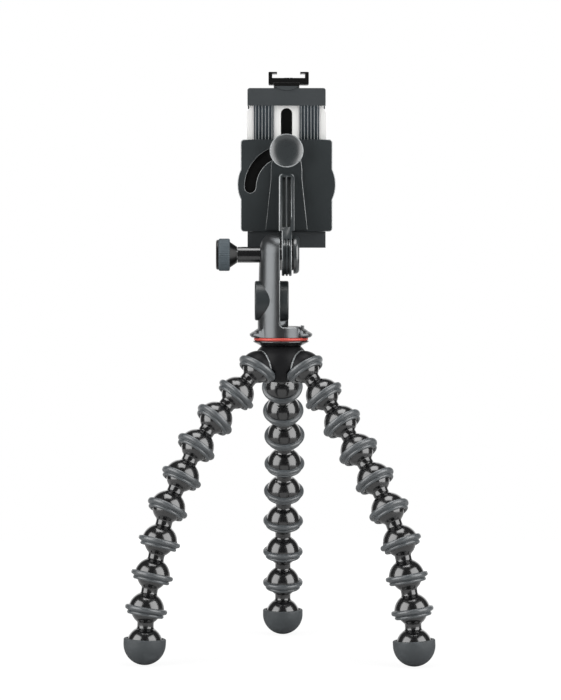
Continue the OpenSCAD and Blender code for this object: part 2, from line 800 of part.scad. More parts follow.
module arm_outline() {
    top_r = 7.6;
    foot_rise = 1.2;
    waist_rise = 4.6;
    shoulder_rise = 10.2;
    waist_z = pivot_z + waist_rise;
    shoulder_z = pivot_z + shoulder_rise;
    polygon([
        [clamp_x - arm_foot_w / 2, housing_z + foot_rise], [clamp_x + arm_foot_w / 2, housing_z + foot_rise],
        [clamp_x + arm_waist_w / 2, waist_z], [clamp_x + arm_waist_w / 2, shoulder_z],
        [clamp_x + top_r, stud_z], [clamp_x - top_r, stud_z],
        [clamp_x - arm_waist_w / 2, shoulder_z], [clamp_x - arm_waist_w / 2, waist_z]]);
    translate([clamp_x, stud_z]) circle(r = top_r);
}

module arm() {
    rail_w = 1.9;
    spine_w = 0.8;
    tongue_groove = 0.8;
    gusset_rise = 0.6;
    gusset_z = housing_z + gusset_rise;
    channel_w = (gusset_w - 2 * rail_w - spine_w) / 2;
    gusset_x = clamp_x - gusset_w / 2;
    stand() color(clamp_grey) difference() {
        union() {
            y_plate(arm_y, arm_t) arm_outline();
            x_plate(tongue_x, tongue_t) gusset_profile(0);
            intersection() {
                x_plate(gusset_x, gusset_w) gusset_profile(0);
                translate([gusset_x, -tongue_r, gusset_z]) cube([gusset_w, tongue_r * 3, pivot_h]);
            }
        }
        // two channels down the front of the gusset, with a spine between
        for (x = [gusset_x + rail_w, gusset_x + gusset_w - rail_w - channel_w])
            intersection() {
                difference() {
                    x_plate(x, channel_w) translate([-channel_depth, 0]) gusset_profile(0);
                    x_plate(x - cut_over, channel_w + 2 * cut_over) gusset_profile(channel_depth);
                }
                translate([x - cut_over, -tongue_r * 2, gusset_z + channel_w])
                    cube([channel_w + 2 * cut_over, tongue_r * 3, gusset_top - gusset_z - channel_w - rail_w]);
            }
        // narrow grooves round the tongue
        for (x = [tongue_x + tongue_t / 3, tongue_x + tongue_t * 2 / 3])
            difference() {
                x_rod(x - tongue_groove / 2, tongue_groove, tongue_r + cut_over);
                x_rod(x - tongue_groove, tongue_groove * 2, tongue_r - tongue_groove);
                translate([x - cut_over, -tongue_r / 2, tilt_z]) cube([2 * cut_over, tongue_r * 3, tongue_r * 2]);
            }
        x_rod(tongue_x - cut_over, tongue_t + gusset_w, bore_r);
        y_rod(clamp_x, arm_y - cut_over, stud_z, arm_t + 2 * cut_over, stud_d / 2 + run_gap);
        y_rod(clamp_x, arm_y, pivot_z, arm_t + cut_over, pivot_d / 2 + seat_gap);
    }
}

module pivot_pin() {
    head_y = housing_inner_y - pivot_head_t - seat_gap;
    stand() color(steel) {
        y_rod(clamp_x, arm_y + seat_gap, pivot_z, head_y + pivot_head_t - arm_y - seat_gap, pivot_d / 2);
        y_rod(clamp_x, head_y, pivot_z, pivot_head_t, pivot_head_r);
    }
}

// Carriage stud: its head rides in the groove behind the arc slot
module turn_stud() {
    carriage_r = groove_w / 2 - face_gap * 2;
    carriage_t = groove_depth - face_gap;
    carriage_y = housing_y + arc_lip + face_gap / 2;
    stand() color(steel) {
        y_rod(clamp_x, arm_y - into_knob, stud_z, carriage_y + carriage_t - arm_y + into_knob, stud_d / 2);
        y_rod(clamp_x, carriage_y, stud_z, carriage_t, carriage_r);
    }
}

module turn_knob() {
    back_inset = 1.6;
    back_r = turn_knob_d / 2 - back_inset;
    dish_r = 24;
    dish_depth = 1.3;
    edge = 0.6;
    rim_y = 2.4;
    knob_y = arm_y - seat_gap * 2 - turn_knob_t;
    stand() color(clamp_grey) translate([clamp_x, knob_y, stud_z]) rotate([-90, 0, 0]) difference() {
        union() {
            cylinder(r1 = turn_knob_d / 2 - edge, r2 = turn_knob_d / 2, h = edge);
            translate([0, 0, edge]) cylinder(r = turn_knob_d / 2, h = rim_y - edge);
            translate([0, 0, rim_y]) cylinder(r1 = turn_knob_d / 2, r2 = back_r, h = turn_knob_t - rim_y);
        }
        translate([0, 0, dish_depth - dish_r]) sphere(r = dish_r, $fn = 128);
        translate([0, 0, turn_knob_t - into_knob - face_gap])
            cylinder(r = stud_d / 2 + run_gap, h = into_knob + cut_over);
    }
}

// Clamp

// Front view of the housing: a rounded rectangle with a shallow bulge on each side
module housing_outline() {
    corner = 2;
    bulge_h = 17.2;
    bulge_rise = 1.6;
    bulge_r = (pow(bulge_h / 2, 2) + pow(bulge_out, 2)) / (2 * bulge_out);
    translate([clamp_x, housing_z]) rounded_rect(housing_w, housing_h, corner);
    for (side = [-1, 1]) intersection() {
        translate([clamp_x + side * (housing_w / 2 + bulge_out - bulge_r), pivot_z + bulge_rise])
            circle(r = bulge_r);
        translate([clamp_x + side * housing_w / 2 - bulge_out - cut_over, housing_z])
            square([2 * (bulge_out + cut_over), housing_h]);
    }
}

// Quarter of a ring about the pivot, from straight above it round to its left, with round ends
module arc_track(w) {
    end_slack = 1.5;
    translate([clamp_x, pivot_z]) {
        difference() {
            circle(r = arc_r + w / 2, $fn = 128);
            circle(r = arc_r - w / 2, $fn = 128);
            rotate(-end_slack) square([arc_r * 2, arc_r * 2]);
            translate([-arc_r * 2, -arc_r * 4]) square([arc_r * 4, arc_r * 4]);
        }
        for (a = [90 - end_slack, 180]) rotate(a) translate([arc_r, 0]) circle(r = w / 2 - seat_gap);
    }
}

module clamp_housing() {
    stand() color(clamp_grey) difference() {
        y_plate(housing_y, housing_depth) housing_outline();
        // cavity for the slide, open at the top
        translate([clamp_x - cavity_w / 2, housing_inner_y, cavity_z])
            cube([cavity_w, housing_depth, housing_h]);
        y_plate(housing_y - cut_over, arc_lip + 2 * cut_over) arc_track(arc_slot_w);
        y_plate(housing_y + arc_lip, groove_depth) arc_track(groove_w);
        y_rod(clamp_x, housing_y - cut_over, pivot_z, housing_wall + 2 * cut_over, pivot_d / 2 + run_gap);
        y_rod(clamp_x, housing_inner_y - pivot_head_t - face_gap, pivot_z, housing_wall,
            pivot_head_r + face_gap);
        // screw holes in the side walls
        housing_screw_places() y_rod(0, cover_y - screw_len, 0, screw_len + cut_over, screw_r + seat_gap);
    }
}

module housing_screw_places() {
    for (side = [-1, 1], z = [housing_z + screw_inset, housing_top - screw_inset])
        translate([clamp_x + side * (housing_w - side_wall) / 2, 0, z]) children();
}

module housing_screws() {
    stand() color(steel) housing_screw_places() {
        y_rod(0, cover_y - screw_len + face_gap, 0, screw_len + cover_t - face_gap * 2, screw_r);
        y_rod(0, cover_y + cover_t - screw_head_t, 0, screw_head_t, screw_head);
    }
}

// Side view of a jaw's floor with its lip, lying on its back at height zero
module jaw_side(block_h) {
    corner = 1.2;
    translate([jaw_back_y, 0]) square([lip_y + jaw_lip_t - jaw_back_y - corner, jaw_floor]);
    translate([jaw_back_y, corner]) square([lip_y + jaw_lip_t - jaw_back_y, jaw_floor - corner]);
    translate([lip_y + jaw_lip_t - corner, corner]) circle(r = corner);
    translate([jaw_back_y, 0]) square([cover_y + cover_t - jaw_back_y, block_h]);
    translate([lip_y, jaw_floor - corner])
        square([jaw_lip_t, jaw_pad_t + jaw_lip_h + corner - jaw_lip_t / 2]);
    translate([lip_y + jaw_lip_t / 2, jaw_floor + jaw_pad_t + jaw_lip_h - jaw_lip_t / 2])
        circle(r = jaw_lip_t / 2);
}

// Side view of a jaw's pad, which lies on the floor between the face pad and the lip
module pad_side() {
    translate([face_pad_y, jaw_floor + seat_gap]) square([lip_y - face_pad_y - seat_gap, jaw_pad_t]);
}

module clamp_cover() {
    stand() color(clamp_grey) difference() {
        union() {
            y_plate(cover_y + seat_gap, cover_t - seat_gap) housing_outline();
            x_plate(clamp_x - jaw_w / 2, jaw_w) translate([0, lower_jaw_z]) jaw_side(lower_jaw_h);
            // neck that joins the jaw to the cover
            translate([clamp_x - jaw_w / 2, cover_y + seat_gap, lower_jaw_top - cut_over])
                cube([jaw_w, cover_t - seat_gap, side_wall + cut_over]);
        }
        housing_screw_places() {
            y_rod(0, cover_y - cut_over, 0, cover_t + 2 * cut_over, screw_r + seat_gap);
            y_rod(0, cover_y + cover_t - screw_head_t - seat_gap, 0, screw_head_t + cut_over, screw_head + seat_gap);
        }
    }
}

// One soft moulding: the face pad on the cover and the pad on the lower jaw's floor
module lower_pad() {
    floor_z = lower_jaw_z + jaw_floor + seat_gap;
    stand() color(grip_grey) difference() {
        union() {
            y_plate(face_pad_y, face_pad_t) {
                translate([clamp_x, housing_z + pad_margin])
                    rounded_rect(housing_w - 2 * pad_margin, housing_h - 2 * pad_margin, pad_margin);
                translate([clamp_x - jaw_w / 2 + pad_margin, floor_z])
                    square([jaw_w - 2 * pad_margin, housing_z - floor_z + 2 * pad_margin]);
            }
            x_plate(clamp_x - jaw_w / 2 + pad_margin, jaw_w - 2 * pad_margin)
                translate([0, lower_jaw_z]) pad_side();
        }
        for (x = [rib_pitch * 1.5 - jaw_w / 2:rib_pitch:jaw_w / 2 - rib_pitch])
            translate([clamp_x + x, jaw_face_y, lower_pad_top - rib_depth]) cube([rib_w, jaw_reach, rib_depth * 2]);
    }
}

function spring_point(i) = let (n = spring_turns * spring_steps, a = 360 * i / spring_steps)
    [spring_r * cos(a), spring_r * sin(a), spring_z0 + (spring_z1 - spring_z0) * i / n];

module jaw_spring() {
    n = spring_turns * spring_steps;
    points = [for (i = [0:n], s = [0:spring_sides - 1])
        let (a = 360 * i / spring_steps, b = 360 * s / spring_sides,
             out = [cos(a), sin(a), 0], up = [0, 0, 1])
        spring_point(i) + spring_wire_r * (cos(b) * out + sin(b) * up)];
    sides = [for (i = [0:n - 1], s = [0:spring_sides - 1], half = [0, 1])
        let (p = i * spring_sides + s, q = i * spring_sides + (s + 1) % spring_sides)
        half == 0 ? [p, p + spring_sides, q] : [q, p + spring_sides, q + spring_sides]];
    ends = [for (s = [1:spring_sides - 2], half = [0, 1])
        half == 0 ? [0, s, s + 1] : [n * spring_sides, n * spring_sides + s + 1, n * spring_sides + s]];
    polyhedron(points = points, faces = concat(sides, ends));
}

module jaw_springs() {
    stand() color(steel) for (side = [-1, 1]) translate([clamp_x + side * spring_x, spring_y, 0]) jaw_spring();
}

module slide_plate() {
    shoulder = slide_shoulder;
    shoulder_h = 3.5;
    lug_w = 3.6;
    slot_r = slide_slot_w / 2;
    stand() color(bare_alloy) {
        y_plate(slide_y, slide_t) translate([clamp_x, 0]) difference() {
            polygon([
                [-slide_w / 2, slide_bottom], [slide_w / 2, slide_bottom],
                [slide_w / 2, upper_jaw_z - shoulder_h], [slide_w / 2 - shoulder, upper_jaw_z - shoulder_h + shoulder],
                [slide_w / 2 - shoulder, slide_top], [shoulder - slide_w / 2, slide_top],
                [shoulder - slide_w / 2, upper_jaw_z - shoulder_h + shoulder],
                [-slide_w / 2, upper_jaw_z - shoulder_h]]);
            translate([-slot_r, slide_bottom - cut_over])
                square([slide_slot_w, slide_slot_top - slot_r - slide_bottom + cut_over]);
            translate([0, slide_slot_top - slot_r]) circle(r = slot_r);
        }
        // lugs that the springs pull on
        for (side = [-1, 1])
            translate([clamp_x + side * spring_x - lug_w / 2, slide_y + slide_t / 2, spring_z1 + spring_wire_r * 2])
                cube([lug_w, spring_y - slide_y, slide_t]);
    }
}

// Ribbed guide leg: a strip with narrow grooves along its length
module guide_leg(side) {
    flute_w = 0.5;
    flute_depth = 0.35;
    centre = clamp_x + side * guide_x;
    pitch = guide_w / guide_ribs;
    difference() {
        translate([centre - guide_w / 2, guide_y, slide_bottom])
            cube([guide_w, guide_t, upper_jaw_z - slide_bottom + cut_over]);
        for (i = [1:guide_ribs - 1])
            translate([centre - guide_w / 2 + i * pitch - flute_w / 2, guide_y - cut_over, slide_bottom - cut_over])
                cube([flute_w, flute_depth + cut_over, upper_jaw_z - slide_bottom + cut_over]);
    }
}

module upper_jaw() {
    liner_w = 12;
    stand() color(clamp_grey) difference() {
        union() {
            x_plate(clamp_x - jaw_w / 2, jaw_w) translate([0, upper_jaw_top]) mirror([0, 1]) jaw_side(upper_jaw_h);
            for (side = [-1, 1]) guide_leg(side);
            // strip behind the plate's long slot
            translate([clamp_x - liner_w / 2, liner_y, slide_bottom])
                cube([liner_w, liner_t, upper_jaw_z - slide_bottom + cut_over]);
        }
        // pocket for the slide plate
        translate([clamp_x - slide_w / 2 + slide_shoulder - seat_gap, slide_y - seat_gap, upper_jaw_z - cut_over])
            cube([slide_w - 2 * slide_shoulder + 2 * seat_gap, slide_t + 2 * seat_gap, slide_hold + cut_over + seat_gap]);
        translate([shoe_x, shoe_y, upper_jaw_top - jaw_floor / 2]) cylinder(r = screw_hole_r, h = jaw_floor);
    }
}

module upper_jaw_pad() {
    stand() color(grip_grey) difference() {
        x_plate(clamp_x - jaw_w / 2 + pad_margin, jaw_w - 2 * pad_margin)
            translate([0, upper_jaw_top]) mirror([0, 1]) pad_side();
        for (x = [rib_pitch * 1.5 - jaw_w / 2:rib_pitch:jaw_w / 2 - rib_pitch])
            translate([clamp_x + x, jaw_face_y, upper_pad_z - rib_depth]) cube([rib_w, jaw_reach, rib_depth * 2]);
    }
}

// Cold shoe

module cold_shoe() {
    corner = 0.5;
    apron_r = 11;
    apron_drop = 1.3;
    apron_t = 0.8;
    stand() color(dark_metal) difference() {
        union() {
            translate([0, shoe_y - shoe_l / 2, 0]) y_plate(0, shoe_l) difference() {
                translate([shoe_x, shoe_neck_top]) rounded_rect(shoe_w, shoe_h, corner);
                translate([shoe_x - shoe_channel_w / 2, shoe_neck_top + shoe_floor])
                    square([shoe_channel_w, shoe_channel_h]);
                translate([shoe_x - shoe_opening / 2, shoe_neck_top + shoe_floor])
                    square([shoe_opening, shoe_h]);
            }
            translate([clamp_x, shoe_y, upper_jaw_top + seat_gap]) cylinder(d = shoe_neck_d, h = shoe_neck_h);
            // rounded apron that hangs in front of the jaw's top edge
            y_plate(jaw_back_y - apron_t - seat_gap, apron_t) intersection() {
                translate([clamp_x, upper_jaw_top - apron_drop + apron_r]) circle(r = apron_r);
                translate([clamp_x - shoe_neck_d / 2, upper_jaw_top - apron_drop])
                    square([shoe_neck_d, apron_drop + shoe_neck_h + cut_over]);
            }
        }
        translate([shoe_x, shoe_y, upper_jaw_top]) cylinder(r = screw_hole_r, h = shoe_h);
        translate([shoe_x, shoe_y, shoe_neck_top + shoe_floor - shoe_screw_sink])
            cylinder(r = shoe_screw_head_r + seat_gap, h = shoe_h);
    }
}

module shoe_screw() {
    head_h = 2;
    drive_r = 1.3;
    drive_h = 1;
    head_z = shoe_neck_top + shoe_floor - shoe_screw_sink + seat_gap;
    stand() color(steel) translate([shoe_x, shoe_y, 0]) difference() {
        union() {
            translate([0, 0, upper_jaw_top - jaw_floor / 2 + seat_gap])
                cylinder(r = shoe_screw_r, h = head_z - upper_jaw_top + jaw_floor / 2);
            translate([0, 0, head_z]) cylinder(r = shoe_screw_head_r, h = head_h);
        }
        translate([0, 0, head_z + head_h - drive_h]) cylinder(r = drive_r, h = head_h, $fn = 6);
    }
}

hub_body();
hub_socket_rings();
platform_disc();
red_ring();
platform_pad();
camera_screw();
hub_base_cap();
for (leg = [0:2]) {
    for (i = [1:LINKS])
        leg_link(leg, i);
    foot_stud(leg);
    foot_pad(leg);
}
post();
thread_inserts();
side_boss();
tilt_spacer();
tilt_bolt();
tilt_knob();
tilt_knob_grip();
tilt_cap();
friction_washers();
arm();
pivot_pin();
turn_knob();
turn_stud();
clamp_housing();
clamp_cover();
lower_pad();
housing_screws();
jaw_springs();
slide_plate();
upper_jaw();
upper_jaw_pad();
cold_shoe();
shoe_screw();
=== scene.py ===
"""Looks of the small tripod: flexible legs of ball links, a cast post and a turning clamp.

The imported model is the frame. Links, grip rings, feet, the red ring, the tilt knob's grip and
the lock knob are lathed anew, the post has a new head, and every other piece is a softened
copy of its solid. Lengths are in metres.
"""
import functools
import json
import math

import bmesh
import bpy
from mathutils import Matrix, Vector


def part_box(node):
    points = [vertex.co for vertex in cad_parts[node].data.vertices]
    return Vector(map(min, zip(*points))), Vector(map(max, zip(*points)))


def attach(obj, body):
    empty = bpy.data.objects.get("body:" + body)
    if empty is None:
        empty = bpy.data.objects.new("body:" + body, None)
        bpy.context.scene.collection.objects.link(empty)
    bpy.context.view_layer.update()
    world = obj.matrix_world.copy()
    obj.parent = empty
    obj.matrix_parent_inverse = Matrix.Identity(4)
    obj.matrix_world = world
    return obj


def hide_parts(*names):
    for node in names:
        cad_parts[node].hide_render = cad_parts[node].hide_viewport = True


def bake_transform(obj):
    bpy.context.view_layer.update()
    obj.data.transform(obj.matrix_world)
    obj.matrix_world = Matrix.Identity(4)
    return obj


bl_info = {
    "name": "Flexible Leg Tripod",
    "version": (1, 0, 0),
    "blender": (4, 5, 0),
    "location": "View3D > Sidebar > Tripod",
    "description": "Builds the looks of a small tripod with a turning clamp on its packed solids",
    "category": "Object",
}

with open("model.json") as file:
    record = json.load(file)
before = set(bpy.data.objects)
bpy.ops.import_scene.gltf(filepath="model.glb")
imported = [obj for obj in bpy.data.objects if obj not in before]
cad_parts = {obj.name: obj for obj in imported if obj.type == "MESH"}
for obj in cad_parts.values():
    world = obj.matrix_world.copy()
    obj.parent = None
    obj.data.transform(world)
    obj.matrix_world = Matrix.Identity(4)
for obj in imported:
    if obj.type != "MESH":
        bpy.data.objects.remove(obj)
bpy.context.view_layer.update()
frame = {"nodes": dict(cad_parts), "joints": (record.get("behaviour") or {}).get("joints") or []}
JOINTS = {joint["name"]: joint for joint in frame["joints"]}
LEGS = ("left", "right", "rear")
LINKS = 8
MM = 0.001
MERGE = 1e-6
SLACK = 0.03 * MM  # how near a line or a plane something has to be to count as on it
UP = Vector((0, 0, 1))


def joint_place(name):
    """Point in the frame that a hinge turns about."""
    return Vector(JOINTS[name]["pos_m"])


@functools.cache
def extent(node):
    """A node's lowest and highest corner."""
    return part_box(node)


HUB = joint_place("mount_swivel")
TILT = joint_place("clamp_tilt")
PIVOT = joint_place("clamp_turn")


# Sizes and colours -------------------------------------------------------------------------


def length(name, text, millimetres):
    """A length that a user may change."""
    return bpy.props.FloatProperty(
        name=name, description=text, default=millimetres * MM, unit="LENGTH", precision=5
    )


def colour(name, text, rgb):
    """A colour that a user may change."""
    return bpy.props.FloatVectorProperty(
        name=name, description=text, default=rgb, subtype="COLOR", size=3, min=0, max=1
    )


class LegSizes(bpy.types.PropertyGroup):
    """Sizes of a leg link, its grip ring and the foot"""

    pitch: length("Pitch", "Distance between neighbouring ball centres", 19.5)
    ball: length("Ball radius", "Radius of a ball", 8.5)
    dome: length("Dome radius", "Radius of a socket dome", 10.1)
    cavity: length("Cavity radius", "Radius of the hollow that holds a ball", 8.55)
    neck: length("Neck radius", "Radius of the neck between ball and dome", 4.6)
    rim_drop: length("Rim drop", "Depth of a socket's rim below its centre", 3.0)
    bead: length("Bead radius", "Radius of a grip ring's main bead", 1.8)
    bead_reach: length("Bead reach", "Distance of the main bead's middle from the axis", 10.2)
    lip: length("Lip radius", "Radius of a grip ring's lower lip", 1.0)
    lip_reach: length("Lip reach", "Distance of the lip's middle from the axis", 9.45)
    lip_drop: length("Lip drop", "Depth of the lip's middle below the dome's centre", 2.75)
    foot: length("Foot radius", "Radius of a rubber foot", 12.0)
    foot_rim: length("Foot rim", "Height of a foot's rim above its centre", 3.0)


class MountSizes(bpy.types.PropertyGroup):
    """Sizes of the two knobs, and how soft the moulded edges are"""

    grip: length("Grip radius", "Radius of the tilt knob's grip", 9.3)
    lock: length("Lock knob radius", "Radius of the turning lock knob", 9.7)
    edge: length("Edge softness", "Width of the softened edges of moulded pieces", 0.5)


class FinishColours(bpy.types.PropertyGroup):
    """Colours of the finishes"""

    polished: colour("Polished", "Black of the links and the platform disc", (0.004, 0.004, 0.0045))
    hub: colour("Hub", "Satin black of the hub", (0.012, 0.012, 0.013))
    # Painted highlight: grey of the guide lines, and three times as light, the rounded edge strips that
    # stand in for reflections
    rubbed: colour(
        "Rubbed", "Grey of the guide lines, a third as light as rubbed edges", (0.085, 0.090, 0.092)
    )
    grip: colour("Grip", "Dark grey of the soft rings and pads", (0.080, 0.089, 0.095))
    foot: colour("Foot", "Dark grey of the rubber feet", (0.062, 0.070, 0.075))
    moulded: colour("Moulded", "Dark grey of the housing, the arm and the knobs", (0.020, 0.025, 0.027))
    jaw: colour("Jaw", "Grey of the jaws", (0.038, 0.043, 0.046))
    cast: colour("Cast", "Satin grey of the post", (0.112, 0.117, 0.121))
    # Also the painted shade in the housing's groove and behind the slide's slot
    dark: colour("Dark", "Black of the shoe and the turned metal pieces", (0.005, 0.005, 0.005))
    # Also the guide legs' fronts, paler than the jaw partly as painted light against the flutes' shade
    ribbed: colour("Ribbed", "Blue grey of the tilt knob's grip", (0.060, 0.078, 0.090))
    alloy: colour("Alloy", "Bare aluminium of the slide", (0.90, 0.895, 0.88))
    trim: colour("Trim", "Red of the platform's ring", (0.60, 0.085, 0.065))


class StudioSettings(bpy.types.PropertyGroup):
    """Camera and light"""

    distance: bpy.props.FloatProperty(
        name="Distance", description="Camera's distance from the hub's axis", default=1.815,
        unit="LENGTH",
    )
    aside: length("Offset", "How far the camera is left of the hub", 0.3)
    height: bpy.props.FloatProperty(
        name="Height", description="Camera's height over the floor", default=0.2615, unit="LENGTH"
    )
    pitch: bpy.props.FloatProperty(
        name="Pitch", description="How far the camera looks down", default=math.radians(2.69),
        subtype="ANGLE",
    )
    focal: bpy.props.FloatProperty(
        name="Focal length", description="Lens in millimetres on a 36 mm sensor", default=162.3
    )
    softbox: bpy.props.FloatProperty(
        name="Softbox", description="Power of each side softbox in watts", default=32.0
    )


# Finishes ----------------------------------------------------------------------------------


class Value:
    """A socket of a node tree, with arithmetic that adds Math nodes."""

    def __init__(self, tree, socket):
        self.tree, self.socket = tree, socket

    def _math(self, operation, first, second):
        return self.tree.node("ShaderNodeMath", {"operation": operation}, [first, second])

    def __add__(self, other):
        return self._math("ADD", self, other)

    __radd__ = __add__

    def __sub__(self, other):
        return self._math("SUBTRACT", self, other)

    def __mul__(self, other):
        return self._math("MULTIPLY", self, other)

    __rmul__ = __mul__

    def between(self, low, high, start=0.0, end=1.0):
        """Gives start below low, end above high, and a smooth way between."""
        return self.tree.node(
            "ShaderNodeMapRange",
            {"interpolation_type": "SMOOTHSTEP"},
            {"Value": self, "From Min": low, "From Max": high, "To Min": start, "To Max": end},
            "Result",
        )


class Nodes:
    """A node tree whose nodes are written as expressions."""

    def __init__(self, tree):
        self.tree = tree

    def node(self, kind, settings, inputs, output=0):
        """Adds a node: its settings first, then the values or links of its sockets."""
        made = self.tree.nodes.new(kind)
        for key, value in settings.items():
            setattr(made, key, value)
        pairs = inputs.items() if isinstance(inputs, dict) else enumerate(inputs)
        for key, value in pairs:
            if isinstance(value, Value):
                self.tree.links.new(value.socket, made.inputs[key])
            else:
                made.inputs[key].default_value = value
        return Value(self, made.outputs[output])


class Finish(Nodes):
    """A material with one Principled shader, whose textures read Object coordinates."""

    def __init__(self, name, **shader):
        self.material = bpy.data.materials.new(name)
        self.material.use_nodes = True
        super().__init__(self.material.node_tree)
        self.shader = self.tree.nodes["Principled BSDF"]
        for socket, value in shader.items():
            self.shader.inputs[socket.replace("_", " ")].default_value = value

    def ground(self, stretch=(1, 1, 1)):
        """Object coordinates, stretched by a factor along each axis."""
        place = self.node("ShaderNodeTexCoord", {}, {}, "Object")
        return self.node("ShaderNodeMapping", {}, {"Vector": place, "Scale": stretch}, "Vector")

    def noise(self, per_metre, detail=2.0, stretch=(1, 1, 1), rough=0.5):
        """Noise with that many blotches to the metre, from 0 to 1."""
        return self.node(
            "ShaderNodeTexNoise",
            {},
            {"Vector": self.ground(stretch), "Scale": per_metre, "Detail": detail, "Roughness": rough},
            "Fac",
        )

    def mix(self, share, first, second):
        """A colour between two colours."""
        inputs = {0: share, 6: (*first, 1.0), 7: (*second, 1.0)}  # the sockets for colours
        return self.node("ShaderNodeMix", {"data_type": "RGBA"}, inputs, 2)

    def bump(self, height, metres, strength):
        """A normal bent by a height map whose full range is that many metres."""
        return self.node(
            "ShaderNodeBump", {}, {"Height": height, "Distance": metres, "Strength": strength}, "Normal"
        )

    def set(self, **sockets):
        """Links values to the shader's sockets and gives the material."""
        for name, value in sockets.items():
            self.tree.links.new(value.socket, self.shader.inputs[name.replace("_", " ")])
        return self.material


def shade(rgb, factor):
    """A colour made darker or lighter."""
    return tuple(min(1.0, channel * factor) for channel in rgb)


def polished_black(rgb):
    """Hard glossy plastic with a faint unevenness and a few hazy handling marks."""
    f = Finish("polished_black", IOR=1.75, Coat_Weight=1.0, Coat_Roughness=0.13)
    broad, haze = f.noise(70, 2.0), f.noise(420, 4.0, rough=0.6)
    marks = haze.between(0.52, 0.70)
    return f.set(
        Base_Color=f.mix(broad, shade(rgb, 0.8), shade(rgb, 1.3)),
        Roughness=0.18 + 0.04 * broad + 0.05 * marks,
        Normal=f.bump(f.noise(140, 1.0), 0.00003, 0.5),
    )


def satin_black(rgb):
    """Hub plastic with a low sheen, slightly cloudy."""
    f = Finish("hub_black", IOR=1.22)
    cloud, grain = f.noise(60, 3.0), f.noise(2600, 2.0)
    return f.set(
        Base_Color=f.mix(cloud, shade(rgb, 0.75), shade(rgb, 1.35)),
        Roughness=0.34 + 0.08 * cloud + 0.05 * grain,
        Normal=f.bump(grain, 0.00001, 0.4),
    )


def rubbed_edge(name, rgb, rough):
    """Painted highlight: a pale, smooth finish for rounded edges and fine lines, in uneven patches."""
    f = Finish(name, IOR=2.3)
    patchiness, scuff = f.noise(160, 3.0), f.noise(1500, 3.0)
    return f.set(
        Base_Color=f.mix(patchiness.between(0.3, 0.7), shade(rgb, 0.72), shade(rgb, 1.2)),
        Roughness=rough - 0.04 + 0.10 * scuff,
    )


def soft_rubber(name, rgb, rough, index):
    """Rubber with a fine grain and slightly paler rubbed patches."""
    f = Finish(name, IOR=index)
    grain, blotch = f.noise(2600, 3.0), f.noise(110, 3.0)
    worn = blotch.between(0.48, 0.72)
    return f.set(
        Base_Color=f.mix(worn, shade(rgb, 0.92), shade(rgb, 1.22)),
        Roughness=rough + 0.10 * grain - 0.05 * worn,
        Normal=f.bump(grain, 0.00004, 0.5),
    )


def moulded_plastic(name, rgb, rough=0.32, index=1.6):
    """Glass-filled plastic from a spark-eroded mould: fine even texture, satin sheen."""
    f = Finish(name, IOR=index)
    spark, flow = f.noise(3400, 2.0), f.noise(55, 3.0)
    return f.set(
        Base_Color=f.mix(flow, shade(rgb, 0.86), shade(rgb, 1.18)),
        Roughness=rough + 0.08 * spark + 0.05 * flow,
        Normal=f.bump(spark, 0.00002, 0.5),
    )


def cast_satin(rgb):
    """Bead-blasted casting under a thin satin coat."""
    f = Finish("cast_satin", Metallic=0.88)
    blast, flow = f.noise(3000, 3.0), f.noise(60, 2.0)
    return f.set(
        Base_Color=f.mix(flow, shade(rgb, 0.92), shade(rgb, 1.10)),
        Roughness=0.27 + 0.09 * blast,
        Normal=f.bump(blast, 0.00002, 0.45),
    )


def turned_black(rgb):
    """Black anodised metal with faint machining lines."""
    f = Finish("turned_black", Metallic=0.3)
    lines, flow = f.noise(900, 3.0, (8, 1, 1)), f.noise(80, 2.0)
    return f.set(
        Base_Color=f.mix(flow, shade(rgb, 0.8), shade(rgb, 1.4)),
        Roughness=0.27 + 0.10 * lines,
        Normal=f.bump(lines, 0.00001, 0.35),
    )


def ribbed_grip(rgb):
    """Blue grey rubber of the tilt knob."""
    f = Finish("ribbed_grip")
    grain, blotch = f.noise(2200, 3.0), f.noise(240, 3.0)
    return f.set(
        Base_Color=f.mix(blotch, shade(rgb, 0.82), shade(rgb, 1.25)),
        Roughness=0.52 + 0.14 * grain,
        Normal=f.bump(grain, 0.00005, 0.6),
    )


def brushed_alloy(rgb):
    """Bare sheet brushed along its length."""
    f = Finish("brushed_alloy", Metallic=0.2)
    strokes = f.noise(2400, 4.0, (1, 1, 0.02), 0.65)
    return f.set(
        Base_Color=f.mix(strokes, shade(rgb, 0.93), shade(rgb, 1.06)),
        Roughness=0.36 + 0.14 * strokes,
        Normal=f.bump(strokes, 0.00001, 0.5),
    )


def turned_metal(name, rgb, rough):
    """Steel or brass as turned, with fine lines and a little tarnish."""
    f = Finish(name, Metallic=1.0)
    lines, tarnish = f.noise(1800, 2.0, (1, 1, 5)), f.noise(300, 3.0)
    return f.set(
        Base_Color=f.mix(tarnish, shade(rgb, 0.78), shade(rgb, 1.08)),
        Roughness=rough - 0.05 + 0.12 * lines,
        Normal=f.bump(lines, 0.00001, 0.4),
    )


def red_trim(rgb):
    """Anodised ring, red with a satin sheen."""
    f = Finish("red_trim", Metallic=0.25)
    lines, flow = f.noise(1500, 2.0, (1, 1, 6)), f.noise(90, 2.0)
    return f.set(
        Base_Color=f.mix(flow, shade(rgb, 0.9), shade(rgb, 1.12)),
        Roughness=0.30 + 0.10 * lines,
        Normal=f.bump(lines, 0.00001, 0.4),
    )


FINISHES = {}


